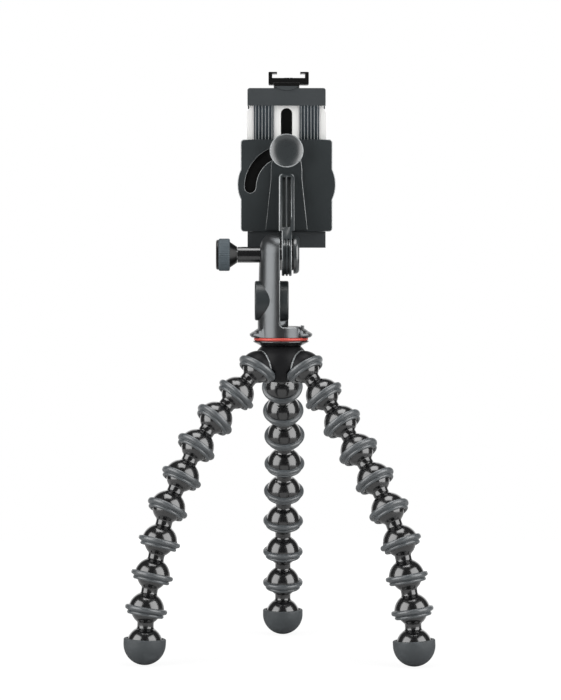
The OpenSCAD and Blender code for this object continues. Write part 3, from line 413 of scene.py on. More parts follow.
def mix_finishes(colours):
    """Makes every finish once."""
    FINISHES.update(
        polished=polished_black(colours.polished),
        hub=satin_black(colours.hub),
        # Painted highlights: the guide lines' finish and the pale strips on rounded edges
        rubbed=rubbed_edge("rubbed_edge", colours.rubbed, 0.22),
        cast_edge=rubbed_edge("cast_edge", shade(colours.rubbed, 3.0), 0.25),
        grip=soft_rubber("soft_grip", colours.grip, 0.30, 1.9),
        foot=soft_rubber("foot_rubber", colours.foot, 0.52, 1.5),
        moulded=moulded_plastic("moulded_grey", colours.moulded),
        jaw=moulded_plastic("jaw_grey", colours.jaw),
        knob=moulded_plastic("knob_grey", colours.moulded, 0.22, 2.1),
        cast=cast_satin(colours.cast),
        dark=turned_black(colours.dark),
        ribbed=ribbed_grip(colours.ribbed),
        alloy=brushed_alloy(colours.alloy),
        steel=turned_metal("turned_steel", (0.50, 0.51, 0.52), 0.30),
        brass=turned_metal("turned_brass", (0.62, 0.45, 0.18), 0.32),
        trim=red_trim(colours.trim),
    )


# Modelling ---------------------------------------------------------------------------------


class Profile:
    """A wire of (distance from axis, height) that lathe() spins about Z."""

    def __init__(self, reach, height):
        self.bm = bmesh.new()
        self.first = self.last = self.bm.verts.new((reach, 0, height))

    def to(self, reach, height):
        """Straight to a point."""
        vert = self.bm.verts.new((reach, 0, height))
        self.bm.edges.new((self.last, vert))
        self.last = vert
        return self

    def turn(self, centre, degrees, steps):
        """Along an arc about a centre, clockwise when the axis is on the left."""
        made = bmesh.ops.spin(
            self.bm, geom=[self.last], cent=(centre[0], 0, centre[1]), axis=(0, 1, 0),
            angle=math.radians(degrees), steps=steps, use_duplicate=False,
        )
        self.last = next(g for g in made["geom_last"] if isinstance(g, bmesh.types.BMVert))
        return self

    def close(self):
        """Back to the first point."""
        self.bm.edges.new((self.last, self.first))
        return self

    def lathe(self, steps=72):
        """The solid of revolution."""
        bmesh.ops.spin(
            self.bm, geom=self.bm.verts[:] + self.bm.edges[:], cent=(0, 0, 0), axis=(0, 0, 1),
            angle=math.tau, steps=steps, use_merge=True,
        )
        bmesh.ops.remove_doubles(self.bm, verts=self.bm.verts, dist=MERGE)
        bmesh.ops.dissolve_degenerate(self.bm, dist=MERGE, edges=self.bm.edges)
        bmesh.ops.recalc_face_normals(self.bm, faces=self.bm.faces)
        return self.bm


def bevel(bm, edges, width, segments=3):
    """Rounds some edges."""
    bmesh.ops.bevel(
        bm, geom=edges, offset=width, offset_type="OFFSET", affect="EDGES", segments=segments,
        profile=0.5, material=-1, clamp_overlap=True,
    )


def hoop(bm, reach, height):
    """The edges of a lathed mesh that lie on one circle."""
    def on_circle(vert):
        return abs(math.hypot(*vert.co.xy) - reach) < SLACK and abs(vert.co.z - height) < SLACK

    return [e for e in bm.edges if all(on_circle(v) for v in e.verts)]


def arc_centre(end, radius, degrees):
    """Centre of an arc that goes on from a wire's end without a kink, where the wire slopes so much."""
    a = math.radians(degrees)
    return end.co.x - radius * math.sin(a), end.co.z - radius * math.cos(a)


def near(value, place):
    """Whether a coordinate is as good as at a place."""
    return abs(value - place) < SLACK


def on_plane(edge, axis, place):
    """Whether an edge lies in a plane across an axis."""
    return all(near(v.co[axis], place) for v in edge.verts)


def bend(edge):
    """Angle in radians that an edge's faces turn away by, negative in a hollow."""
    return edge.calc_face_angle_signed(0)


def mid(edge):
    """Middle of an edge."""
    return (edge.verts[0].co + edge.verts[1].co) / 2


def piece(bm, name, finish, body, replaces=(), smooth=35.0, extra=()):
    """Turns a mesh into a finished piece, which rides on a body and replaces nodes."""
    mesh = bpy.data.meshes.new(name)
    bm.to_mesh(mesh)
    bm.free()
    mesh.shade_smooth()
    mesh.set_sharp_from_angle(angle=math.radians(smooth))
    for each in (finish, *extra):
        mesh.materials.append(FINISHES[each])
    made = bpy.data.objects.new(name, mesh)
    bpy.context.scene.collection.objects.link(made)
    if body:
        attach(made, body)
    if replaces:
        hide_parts(*replaces)
    return made


def stand_on(bm, origin, down):
    """Sets a mesh drawn about the origin at a point, with its -Z along a direction."""
    turn = (-Vector(down)).to_track_quat("Z", "Y").to_matrix().to_4x4()
    bmesh.ops.transform(bm, matrix=Matrix.Translation(origin) @ turn, verts=bm.verts)
    return bm


def lay_along(bm, origin, axis):
    """Sets a mesh drawn about Z at a point, with its +Z along X or Y."""
    turns = {"X": Matrix.Rotation(math.pi / 2, 4, "Y"), "Y": Matrix.Rotation(-math.pi / 2, 4, "X")}
    bmesh.ops.transform(bm, matrix=Matrix.Translation(origin) @ turns[axis], verts=bm.verts)
    return bm


def welded(node):
    """A copy of a node's mesh with its triangles merged into closed faces."""
    bm = bmesh.new()
    bm.from_mesh(frame["nodes"][node].data)
    bmesh.ops.remove_doubles(bm, verts=bm.verts, dist=2 * MERGE)
    bmesh.ops.dissolve_limit(bm, angle_limit=math.radians(0.6), verts=bm.verts, edges=bm.edges)
    return bm


def sliced(bm, axis, place, drop=True):
    """Cuts a mesh by a plane across an axis, drops what is beyond it and closes the cut."""
    across = Vector()
    across[axis] = 1
    cut = bmesh.ops.bisect_plane(
        bm, geom=bm.verts[:] + bm.edges[:] + bm.faces[:], plane_co=across * place, plane_no=across,
        clear_outer=drop,
    )
    if drop:
        rim = [g for g in cut["geom_cut"] if isinstance(g, bmesh.types.BMEdge)]
        bmesh.ops.holes_fill(bm, edges=rim)


def rounded(made, name, method, width, segments):
    """Adds the modifier that rounds a piece's edges."""
    rounding = made.modifiers.new(name, "BEVEL")
    rounding.limit_method = method
    rounding.width = width
    rounding.segments = segments
    rounding.harden_normals = True
    rounding.miter_outer = "MITER_ARC"
    return rounding


def lined(bm, node, name, finish, body, edge, weigh, rim, tints=(), segments=4):
    """A node's mesh with chosen edges rounded and given the rim's finish, on most pieces a pale painted
    highlight.

    weigh gives an edge's share of the width, rim is the rounded strips' finish, and tints are
    pairs of a finish and a function that tells which faces have it.
    """
    share = bm.edges.layers.float.new("bevel_weight_edge")
    for each in bm.edges:
        each[share] = weigh(each)
    for face in bm.faces:
        face.material_index = next((i for i, tint in enumerate(tints, 2) if tint[1](face)), 0)
    extra = [rim, *(tint[0] for tint in tints)]
    made = piece(bm, name, finish, body, [node], extra=extra)
    rounding = rounded(made, "rubbed_edges", "WEIGHT", edge, segments)
    rounding.material = 1
    rounding.use_clamp_overlap = False


def softened(node, name, finish, body, edge, degrees=32.0, segments=3, bm=None, extra=()):
    """A moulded or cast node, or a mesh made in its place, with rounded edges."""
    made = piece(bm or welded(node), name, finish, body, [node], extra=extra)
    rounded(made, "soft_edges", "ANGLE", edge, segments).angle_limit = math.radians(degrees)


# Legs --------------------------------------------------------------------------------------


def link_mesh(s, socket=True):
    """Ball, neck and a hollow or solid dome, with the ball's centre at the origin."""
    neck_at_ball, neck_at_dome = (math.degrees(math.asin(s.neck / reach)) for reach in (s.ball, s.dome))
    ball_end = -math.sqrt(s.ball**2 - s.neck**2)
    dome_start = math.sqrt(s.dome**2 - s.neck**2) - s.pitch
    dome_centre, ball_fillet, dome_fillet = (0, -s.pitch), 0.7 * MM, 1.5 * MM
    wire = Profile(0, s.ball).turn((0, 0), 180 - neck_at_ball, 22).to(s.neck, dome_start)
    if socket:
        rim_out, rim_in = (math.degrees(math.asin(s.rim_drop / reach)) for reach in (s.dome, s.cavity))
        wire.turn(dome_centre, 90 + rim_out - neck_at_dome, 18)
        wire.to(math.sqrt(s.cavity**2 - s.rim_drop**2), -s.pitch - s.rim_drop)
        wire.turn(dome_centre, -90 - rim_in, 14)
    else:
        wire.turn(dome_centre, 180 - neck_at_dome, 28)
    bm = wire.lathe(64)
    bevel(bm, hoop(bm, s.neck, ball_end), ball_fillet, 4)
    bevel(bm, hoop(bm, s.neck, dome_start), dome_fillet, 6)
    return bm


def grip_ring_mesh(s):
    """Main bead, groove and lip round a dome whose centre is the origin."""
    gap, top = 0.05 * MM, 1.45 * MM
    seat = s.dome + gap
    groove = (s.lip_reach + 0.75 * MM, -1.72 * MM)
    bead_start, bead_sweep = math.radians(38), 74
    lip_start, lip_sweep = math.radians(52), 224
    wire = Profile(math.sqrt(seat**2 - top**2), top)
    wire.to(s.bead_reach + s.bead * math.cos(bead_start), s.bead * math.sin(bead_start))
    wire.turn((s.bead_reach, 0), bead_sweep, 12).to(*groove)
    wire.to(s.lip_reach + s.lip * math.cos(lip_start), -s.lip_drop + s.lip * math.sin(lip_start))
    wire.turn((s.lip_reach, -s.lip_drop), lip_sweep, 16)
    wire.to(math.sqrt(seat**2 - s.rim_drop**2), -s.rim_drop - gap).close()
    bm = wire.lathe(72)
    bevel(bm, hoop(bm, *groove), 0.2 * MM, 2)
    return bm


def foot_mesh(s):
    """Round rubber cap with a rolled rim, its centre at the origin and a hair inside its solid."""
    seat, edge, cap = s.dome + 0.06 * MM, 0.6 * MM, s.foot - 0.005 * MM
    seat_height, chamfer = s.foot_rim * 0.62, 0.25 * MM
    seat_angle = math.asin(seat_height / seat)
    seat_reach = seat * math.cos(seat_angle)
    wire = Profile(0, -cap).turn((0, 0), -90, 26)
    wire.to(cap, s.foot_rim - edge).turn((cap - edge, s.foot_rim - edge), -90, 5)
    wire.to(seat_reach + chamfer, s.foot_rim).to(seat_reach, seat_height)
    wire.turn((0, 0), 90 + math.degrees(seat_angle), 16)
    bm = wire.lathe(80)
    bevel(bm, hoop(bm, cap, 0), 0.5 * MM, 3)
    return bm


class TRIPOD_OT_legs(bpy.types.Operator):
    """Makes every leg link, grip ring and foot"""

    bl_idname = "tripod.legs"
    bl_label = "Legs"

    def execute(self, context):
        s = context.scene.tripod_legs
        for leg in LEGS:
            balls = [joint_place(f"{leg}_ball_{i}") for i in range(1, LINKS + 2)]
            low, high = extent(f"{leg}_foot_pad")
            foot = Vector(((low.x + high.x) / 2, (low.y + high.y) / 2, low.z + s.foot))
            ends = balls + [balls[-1] + (foot - balls[-1]).normalized() * s.pitch]
            for i in range(1, LINKS + 1):
                down = ends[i] - ends[i - 1]
                body, node = f"{leg}_leg_{i}", f"{leg}_link_{i}"
                shell = stand_on(link_mesh(s), ends[i - 1], down)
                piece(shell, f"{node}_shell", "polished", body, [node], 60)
                ring = stand_on(grip_ring_mesh(s), ends[i], down)
                piece(ring, f"{node}_ring", "grip", body, [node], 50)
            down, body = ends[-1] - ends[-2], f"{leg}_foot"
            stud = stand_on(link_mesh(s, socket=False), ends[-2], down)
            piece(stud, f"{body}_shell", "polished", body, [f"{body}_stud"], 60)
            cap = stand_on(foot_mesh(s), ends[-1], down)
            piece(cap, f"{body}_cap", "foot", body, [f"{body}_pad"], 50)
        return {"FINISHED"}


# Hub ---------------------------------------------------------------------------------------


def socket_creases(legs):
    """Chooser of the hub's creases where its socket domes rise out of the barrel; their rounded strips
    carry a painted highlight.
    """
    balls = [joint_place(f"{leg}_ball_1") for leg in LEGS]
    slack = 0.1 * MM

    def weigh(edge):
        point = mid(edge)
        on_dome = any(abs((point - ball).length - legs.dome) < slack for ball in balls)
        return float(on_dome and point.z > balls[0].z and bend(edge) < -0.03)

    return weigh


def red_ring_mesh(low, high):
    """Trim ring with a round outer side."""
    half, reach = (high.z - low.z) / 2, (high.x - low.x) / 2
    bore = reach - 2.7 * MM
    wire = Profile(bore, low.z).to(reach - half, low.z)
    wire.turn((reach - half, low.z + half), -180, 12).to(bore, high.z).close()
    bm = wire.lathe(96)
    bmesh.ops.translate(bm, verts=bm.verts, vec=((low.x + high.x) / 2, (low.y + high.y) / 2, 0))
    return bm


class TRIPOD_OT_hub(bpy.types.Operator):
    """Makes the hub, its socket rings and the platform"""

    bl_idname = "tripod.hub"
    bl_label = "Hub"

    def execute(self, context):
        legs, sizes = context.scene.tripod_legs, context.scene.tripod_mount
        lean = math.radians(36)
        # The creases round the socket domes get pale strips: a painted highlight
        lined(
            welded("hub_body"), "hub_body", "hub_shell", "hub", "hub", 0.5 * MM,
            socket_creases(legs), "cast_edge", segments=3,
        )
        for leg in LEGS:
            ball = joint_place(f"{leg}_ball_1")
            out = (ball - HUB).xy.to_3d().normalized()
            down = out * math.sin(lean) - UP * math.cos(lean)
            ring = stand_on(grip_ring_mesh(legs), ball, down)
            piece(ring, f"hub_ring_{leg}", "grip", "hub", ["hub_socket_rings"], 50)
        softened(
            "platform_disc", "platform_disc_turned", "polished", "hub", 0.7 * MM, 20, 5
        )
        ring = red_ring_mesh(*extent("red_ring"))
        piece(ring, "red_ring_turned", "trim", "hub", ["red_ring"], 50)
        softened("platform_pad", "platform_pad_soft", "grip", "hub", 0.12 * MM)
        softened("camera_screw", "camera_screw_turned", "steel", "hub", 0.4 * MM, 40)
        softened("hub_base_cap", "hub_base_cap_soft", "polished", "hub", sizes.edge, 40)
        return {"FINISHED"}


# Mount -------------------------------------------------------------------------------------


def ribbed_grip_mesh(s, span, bore):
    """A grip with rounded flutes round its rim, drawn along Z from the origin."""
    flutes, depth, edge = 44, 0.38 * MM, 0.9 * MM
    wire = Profile(bore, 0).to(s.grip - edge, 0)
    wire.turn((s.grip - edge, edge), -90, 4).to(s.grip, span - edge)
    wire.turn((s.grip - edge, span - edge), -90, 4).to(bore, span).close()
    bm = wire.lathe(flutes * 4)
    for v in bm.verts:
        reach = math.hypot(v.co.x, v.co.y)
        if reach > s.grip - edge * 0.8:
            turn = math.atan2(v.co.y, v.co.x) * flutes
            share = 1 - depth * (0.5 - 0.5 * math.cos(turn)) / reach
            v.co.x *= share
            v.co.y *= share
    return bm


def cut_away(bm, cutter):
    """Takes one closed mesh out of another."""
    objects = []
    for source in (bm, cutter):
        mesh = bpy.data.meshes.new("blank")
        source.to_mesh(mesh)
        source.free()
        objects.append(bpy.data.objects.new("blank", mesh))
        bpy.context.scene.collection.objects.link(objects[-1])
    cut = objects[0].modifiers.new("cut", "BOOLEAN")
    cut.operation, cut.solver, cut.object = "DIFFERENCE", "EXACT", objects[1]
    view = bpy.context.evaluated_depsgraph_get()
    made = bmesh.new()
    made.from_mesh(bpy.data.meshes.new_from_object(objects[0].evaluated_get(view)))
    for each in objects:
        bpy.data.objects.remove(each)
    return made


POST_FACE = HUB.x - 0.6 * MM  # the flat right side of the post's column


def post_head_mesh(seam):
    """The post's rounded head from a seam in the column upwards, with the bolt's bore."""
    base_r, top_r, base_h = 13.4 * MM, 12.5 * MM, 9 * MM
    crown, rise, squareness, steps, last_turn = 3.8 * MM, 12 * MM, 2.5, 20, 89.2
    bore, spot, spot_z, start, end = 3.2 * MM, 5.2 * MM, -12.83 * MM, -30 * MM, 10 * MM
    bm = bmesh.new()
    loops = []

    def section(z, width, depth):
        made = bmesh.ops.create_circle(bm, segments=120, radius=1.0)["verts"]
        bmesh.ops.scale(bm, verts=made, vec=(width, depth, 1))
        bmesh.ops.translate(bm, verts=made, vec=(HUB.x, HUB.y, z))
        loops.append([e for e in bm.edges if e.verts[0] in made and e.verts[1] in made])

    cone = (base_r - top_r) / (TILT.z - extent("post")[0].z - base_h)
    for z in (seam, (seam + TILT.z) / 2):
        radius = top_r + cone * (TILT.z - z)
        section(z, radius, radius)
    for i in range(steps):
        turn = math.radians(last_turn * i / (steps - 1))
        share = math.sin(turn)
        width = crown + (top_r - crown) * (1 - share**squareness) ** (1 / squareness)
        section(TILT.z + rise * share, width, top_r * math.cos(turn))
    for lower, upper in zip(loops, loops[1:]):
        bmesh.ops.bridge_loops(bm, edges=lower + upper)
    bmesh.ops.holes_fill(bm, edges=loops[0] + loops[-1])
    sliced(bm, 0, POST_FACE)
    bmesh.ops.recalc_face_normals(bm, faces=bm.faces)
    rod = Profile(0, start).to(spot, start).to(spot, spot_z).to(bore, spot_z).to(bore, end).to(0, end)
    middle = Vector((HUB.x + 1.03 * MM, TILT.y, TILT.z))
    return cut_away(bm, lay_along(rod.lathe(48), middle, "X"))


def post_mesh():
    """The post: its foot and column as packed, and the rounded head."""
    seam = TILT.z - 14 * MM
    bm = welded("post")
    sliced(bm, 2, seam)
    head = post_head_mesh(seam)
    mesh = bpy.data.meshes.new("head")
    head.to_mesh(mesh)
    head.free()
    bm.from_mesh(mesh)
    return bm


def post_edge(edge):
    """Weight of the post's edges: the flat face's outline and the front of the step beside it, whose
    rounded strips carry a painted highlight.
    """
    point = mid(edge)
    if bend(edge) < 0.7:
        return 0.0
    if on_plane(edge, 0, POST_FACE) and point.y < HUB.y:
        return 1.0
    step_w, front, step_low, step_high = 9.5 * MM, 6 * MM, 5.5 * MM, 9 * MM
    beside = POST_FACE - 0.1 * MM < point.x < HUB.x + step_w and point.y < HUB.y - front
    return float(beside and step_low < point.z - extent("post")[0].z < step_high)


class TRIPOD_OT_mount(bpy.types.Operator):
    """Makes the post, its side boss and the pieces of the tilt hinge"""

    bl_idname = "tripod.mount"
    bl_label = "Mount"

    def execute(self, context):
        s = context.scene.tripod_mount
        # The post's rounded edge strips are pale: a painted highlight
        lined(
            post_mesh(), "post", "post_cast", "cast", "mount", 0.45 * MM, post_edge,
            "cast_edge",
        )
        softened("side_boss", "side_boss_turned", "moulded", "mount", 0.3 * MM, 30)
        softened("thread_inserts", "thread_inserts_turned", "brass", "mount", 0.15 * MM, 40)
        softened("tilt_spacer", "tilt_spacer_turned", "polished", "mount", 0.2 * MM, 40)
        softened("tilt_bolt", "tilt_bolt_turned", "steel", "arm_body", 0.2 * MM, 40)
        softened("tilt_knob", "tilt_knob_core", "dark", "tilt_screw", 0.3 * MM, 22)
        low, high = extent("tilt_knob_grip")
        grip = ribbed_grip_mesh(s, high.x - low.x, bore=s.grip - 1.85 * MM)
        lay_along(grip, Vector((low.x, TILT.y, TILT.z)), "X")
        piece(grip, "tilt_knob_ribs", "ribbed", "tilt_screw", ["tilt_knob_grip"], 70)
        softened("friction_washers", "washers_stamped", "dark", "arm_body", 0.1 * MM, 40)
        softened("tilt_cap", "tilt_cap_moulded", "knob", "arm_body", 0.3 * MM, 40)
        return {"FINISHED"}


# Arm ---------------------------------------------------------------------------------------


def dished_knob_mesh(s, thick, bore):
    """Lock knob drawn along Z, with its dished face at the origin and a round rim, whose faces get a
    pale painted highlight.
    """
    edge, depth, rim_side, rim_depth = 0.32 * MM, 1.76 * MM, 2.4 * MM, 0.8 * MM
    back, inner, pocket = s.lock - 1.6 * MM, s.lock - 2 * edge, depth * 1.3
    shallow, steep, bowl_share = 6, 24, 0.55
    bowl = inner * bowl_share / math.sin(math.radians(shallow))
    slope = inner * (1 - bowl_share) / (math.sin(math.radians(steep)) - math.sin(math.radians(shallow)))
    wire = Profile(0, depth).turn((0, depth - bowl), shallow, 6)
    wire.turn(arc_centre(wire.last, slope, shallow), steep - shallow, 12).to(inner, edge)
    wire.turn((s.lock - edge, edge), -180, 10)
    wire.to(s.lock, rim_side).to(back, thick).to(bore, thick).to(bore, pocket).to(0, pocket)
    bm = wire.lathe(96)
    bevel(bm, hoop(bm, s.lock, rim_side), 0.5 * MM, 3)
    # The rim's faces get the second finish, a pale painted highlight
    for face in bm.faces:
        centre = face.calc_center_median()
        face.material_index = int(centre.xy.length > inner and centre.z < rim_depth)
    return bm


def arm_mesh():
    """The arm with the gusset's upper corners rounded."""
    bm = welded("arm")
    half_w, corner = 4.45 * MM, 2.0 * MM
    top = max(v.co.z for v in bm.verts if near(v.co.x - PIVOT.x, half_w))
    corners = [e for e in bm.edges if on_plane(e, 2, top) and near(abs(mid(e).x - PIVOT.x), half_w)]
    bevel(bm, corners, corner, 5)
    return bm


def arm_edge(bm):
    """Weights of the arm's edges (gusset, plate's outline, tongue), whose rounded strips carry a
    painted highlight, and which faces front its rails, which are painted pale as their highlight.
    """
    slants = [f for f in bm.faces if f.normal.y < -0.85 and 0.2 < f.normal.z < 0.6]
    front = max(slants, key=lambda face: face.calc_area()).normal.copy()
    plate_t, tongue_drop, tongue_half, slack = 2.5 * MM, 25 * MM, 2.9 * MM, 0.05 * MM
    spine, channel, rail_start = 0.7 * MM, 3.5 * MM, 2.5 * MM
    plate = max(v.co.y for v in bm.verts) - plate_t
    tongue = TILT.x + 3.3 * MM

    def on_front(face):
        return face.normal.dot(front) > 0.9999

    def weigh(edge):
        point = mid(edge)
        if bend(edge) < 0.35:
            return 0.0
        off = point.x - PIVOT.x
        across = abs((edge.verts[0].co - edge.verts[1].co).normalized().x)
        if any(on_front(face) for face in edge.link_faces):
            if across > 0.95:
                return 0.0
            if abs(off) < spine:
                return 0.35
            return 1.0 if abs(off) > channel else 0.5
        if on_plane(edge, 1, plate) and across < 0.9:
            return 0.35 if off > 0 else 0.15
        if point.z < PIVOT.z - tongue_drop and abs(abs(point.x - tongue) - tongue_half) < slack:
            return 0.7
        return 0.0

    # The rails' front faces are painted pale: a painted highlight
    def rail(face):
        return on_front(face) and abs(face.calc_center_median().x - PIVOT.x) > rail_start

    return weigh, rail


class TRIPOD_OT_arm(bpy.types.Operator):
    """Makes the arm, its lock knob and its pins"""

    bl_idname = "tripod.arm"
    bl_label = "Arm"

    def execute(self, context):
        s = context.scene.tripod_mount
        arm = arm_mesh()
        weigh, rail = arm_edge(arm)
        # Pale edge strips and pale rail fronts: painted highlights
        lined(
            arm, "arm", "arm_moulded", "moulded", "arm_body", 0.8 * MM, weigh,
            "cast_edge", [("cast_edge", rail)],
        )
        softened("pivot_pin", "pivot_pin_turned", "steel", "arm_body", 0.2 * MM, 40)
        softened("turn_stud", "turn_stud_turned", "steel", "arm_body", 0.2 * MM, 40)
        low, high = extent("turn_knob")
        knob = dished_knob_mesh(s, high.y - low.y, bore=2.6 * MM)
        lay_along(knob, Vector(((low.x + high.x) / 2, low.y, (low.z + high.z) / 2)), "Y")
        # The knob's rim is pale: a painted highlight
        piece(
            knob, "turn_knob_dished", "knob", "turn_lock", ["turn_knob"], 40,
            ["cast_edge"],
        )
        return {"FINISHED"}


# Clamp -------------------------------------------------------------------------------------


def housing_edge(edge):
    """Weight of the housing's edges on its knob side: the slot's rim, and the outline's sides, whose
    rounded strips carry a painted highlight.
    """
    slot_start, slot_middle, slot_end, side = 10 * MM, 17.6 * MM, 25.2 * MM, 22.5 * MM
    point = mid(edge) - PIVOT
    if bend(edge) < 0.6 or not on_plane(edge, 1, extent("clamp_housing")[0].y):
        return 0.0
    reach = math.hypot(point.x, point.z)
    if slot_start < reach < slot_end:
        return 0.55 if reach < slot_middle else 0.3
    return 0.5 if abs(point.x) > side else 0.0


def groove_inside(face):
    """Whether a face lies in the arc groove behind the slot; these faces are painted black as shade."""
    lip, floor, groove_start, groove_end = 0.9 * MM, 3.0 * MM, 10 * MM, 26.2 * MM
    depth = face.calc_center_median().y - extent("clamp_housing")[0].y
    point = face.calc_center_median() - PIVOT
    return lip < depth < floor and groove_start < math.hypot(point.x, point.z) < groove_end


class TRIPOD_OT_clamp(bpy.types.Operator):
    """Makes the clamp's housing, cover, pad and screws"""

    bl_idname = "tripod.clamp"
    bl_label = "Clamp"

    def execute(self, context):
        edge = context.scene.tripod_mount.edge
        # Painted highlight on the rounded edge strips, and painted shade: the groove behind the slot is
        # black
        lined(
            welded("clamp_housing"), "clamp_housing", "housing_moulded", "moulded", "clamp",
            0.8 * MM, housing_edge, "cast_edge", [("dark", groove_inside)],
        )
        softened("clamp_cover", "cover_moulded", "jaw", "clamp", edge, 40)
        softened("lower_pad", "lower_pad_soft", "grip", "clamp", 0.2 * MM, 40, 2)
        softened("housing_screws", "housing_screws_turned", "steel", "clamp", 0.12 * MM, 40, 2)
        return {"FINISHED"}


def jaw_edge(edge):
    """Weight of the upper jaw's edges: only the top edges at its two ends are round."""
    low, high = extent("upper_jaw")
    at_end = on_plane(edge, 0, low.x) or on_plane(edge, 0, high.x)
    return float(bend(edge) >= 0.7 and at_end and on_plane(edge, 2, high.z))


def behind_slot(face):
    """Whether a face is the strip seen through the slide's slot, which is painted black as shade."""
    strip_depth = 1.25 * MM
    depth = face.calc_center_median().y - extent("slide_plate")[0].y
    return face.normal.y < -0.9 and near(depth, strip_depth)


def guide_front(face):
    """Whether a face is on the ribbed front of the guide legs, which gets a paler blue grey, partly
    painted light that offsets the flutes' shade.
    """
    ahead, jaw_h = 0.3 * MM, 10 * MM
    point = face.calc_center_median()
    below_jaw = point.z < extent("upper_jaw")[1].z - jaw_h
    return below_jaw and point.y < extent("slide_plate")[0].y - ahead


def shoe_mesh():
    """The accessory shoe, whose apron in front of the jaw has faces of its own."""
    bm = welded("cold_shoe")
    seam = extent("upper_jaw")[1].z + 1.1 * MM
    sliced(bm, 2, seam, drop=False)
    for face in bm.faces:
        face.material_index = int(face.calc_center_median().z < seam)
    return bm


def guide_lines_mesh():
    """Fine beads that run down the middle of each rib of the guide legs."""
    leg_x, ribs, rib_w, bead_r, sunk = 13.2 * MM, 6, 1.9 * MM, 0.22 * MM, 0.13 * MM
    bm = bmesh.new()
    bottom, top = extent("slide_plate")[0].z + 1 * MM, extent("upper_jaw")[1].z - 10.1 * MM
    front = extent("slide_plate")[0].y - 0.85 * MM
    for middle in (PIVOT.x - leg_x, PIVOT.x + leg_x):
        for i in range(ribs):
            made = bmesh.ops.create_circle(bm, cap_ends=True, segments=12, radius=bead_r)["verts"]
            place = (middle + (i - (ribs - 1) / 2) * rib_w, front + sunk, bottom)
            bmesh.ops.translate(bm, verts=made, vec=place)
            disc = [f for f in bm.faces if all(v in made for v in f.verts)]
            grown = bmesh.ops.extrude_face_region(bm, geom=disc)["geom"]
            tops = [g for g in grown if isinstance(g, bmesh.types.BMVert)]
            bmesh.ops.translate(bm, verts=tops, vec=(0, 0, top - bottom))
    bmesh.ops.recalc_face_normals(bm, faces=bm.faces)
    return bm


class TRIPOD_OT_jaw(bpy.types.Operator):
    """Makes the slide plate, the upper jaw and the accessory shoe"""

    bl_idname = "tripod.jaw"
    bl_label = "Jaw"

    def execute(self, context):
        edge = context.scene.tripod_mount.edge
        softened("slide_plate", "slide_brushed", "alloy", "jaw", 0.15 * MM, 40, 2)
        # Painted shade: the strip seen through the slot is black; the guide legs' fronts are a paler
        # blue grey, partly painted light against the flutes' shade
        lined(
            welded("upper_jaw"), "upper_jaw", "jaw_moulded", "jaw", "jaw", 1.3 * MM,
            jaw_edge, "jaw", [("dark", behind_slot), ("ribbed", guide_front)],
        )
        # The beads' pale finish is a painted highlight along each rib
        piece(guide_lines_mesh(), "guide_lines", "rubbed", "jaw")
        softened("upper_jaw_pad", "jaw_pad_soft", "grip", "jaw", 0.2 * MM, 40, 2)
        softened(
            "cold_shoe", "shoe_milled", "dark", "jaw", edge * 0.8, 40, bm=shoe_mesh(),
            extra=["jaw"],
        )
        softened("shoe_screw", "shoe_screw_turned", "steel", "jaw", 0.2 * MM, 40, 2)
        return {"FINISHED"}


class TRIPOD_OT_springs(bpy.types.Operator):
    """Makes the two springs"""

    bl_idname = "tripod.springs"
    bl_label = "Springs"

    def execute(self, context):
        wound = welded("jaw_springs")
        springs = piece(wound, "springs_wound", "steel", None, ["jaw_springs"], 80)
        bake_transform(springs)
        return {"FINISHED"}


# Stage -------------------------------------------------------------------------------------


def studio_world():
    """White to the camera and straight behind the tripod, dim all round, so gloss stays dark."""
    start, end, dim = 0.68, 0.86, 0.07  # how far back a direction points where the light grows
    world = bpy.data.worlds.new("studio")
    bpy.context.scene.world = world
    world.use_nodes = True
    world.node_tree.nodes.clear()
    sky = Nodes(world.node_tree)
    place = sky.node("ShaderNodeTexCoord", {}, {}, "Generated")
    behind = sky.node("ShaderNodeSeparateXYZ", {}, [place], "Y").between(start, end, dim, 1.0)
    seen = sky.node("ShaderNodeLightPath", {}, {}, "Is Camera Ray")
    strength = sky.node("ShaderNodeMath", {"operation": "MAXIMUM"}, [seen, behind])
    light = sky.node("ShaderNodeBackground", {}, {"Color": (1, 1, 1, 1), "Strength": strength})
    output = world.node_tree.nodes.new("ShaderNodeOutputWorld")
    world.node_tree.links.new(light.socket, output.inputs["Surface"])


def studio_floor():
    """White floor that keeps a faint shadow near the feet and glows white further out."""
    radius, inner, outer, inner_share, glow_strength = 0.62, 0.16, 0.5, 0.78, 1.18
    bm = bmesh.new()
    bmesh.ops.create_circle(bm, cap_ends=True, segments=96, radius=radius)
    mesh = bpy.data.meshes.new("floor")
    bm.to_mesh(mesh)
    bm.free()
    floor = bpy.data.objects.new("floor", mesh)
    bpy.context.scene.collection.objects.link(floor)
    floor.location.z = -0.1 * MM
    paper = Finish("studio_paper", Base_Color=(0.5, 0.5, 0.5, 1), Roughness=0.9, Specular_IOR_Level=0.0)
    place = paper.node("ShaderNodeTexCoord", {}, {}, "Object")
    reach = paper.node("ShaderNodeVectorMath", {"operation": "LENGTH"}, [place], "Value")
    seen = paper.node("ShaderNodeLightPath", {}, {}, "Is Camera Ray")
    glow = paper.node("ShaderNodeEmission", {}, {"Strength": glow_strength})
    share = seen * reach.between(inner, outer, inner_share, 1.0)
    sheet = Value(paper, paper.shader.outputs[0])
    blend = paper.node("ShaderNodeMixShader", {}, [share, sheet, glow])
    paper.tree.links.new(blend.socket, paper.tree.nodes["Material Output"].inputs["Surface"])
    mesh.materials.append(paper.material)


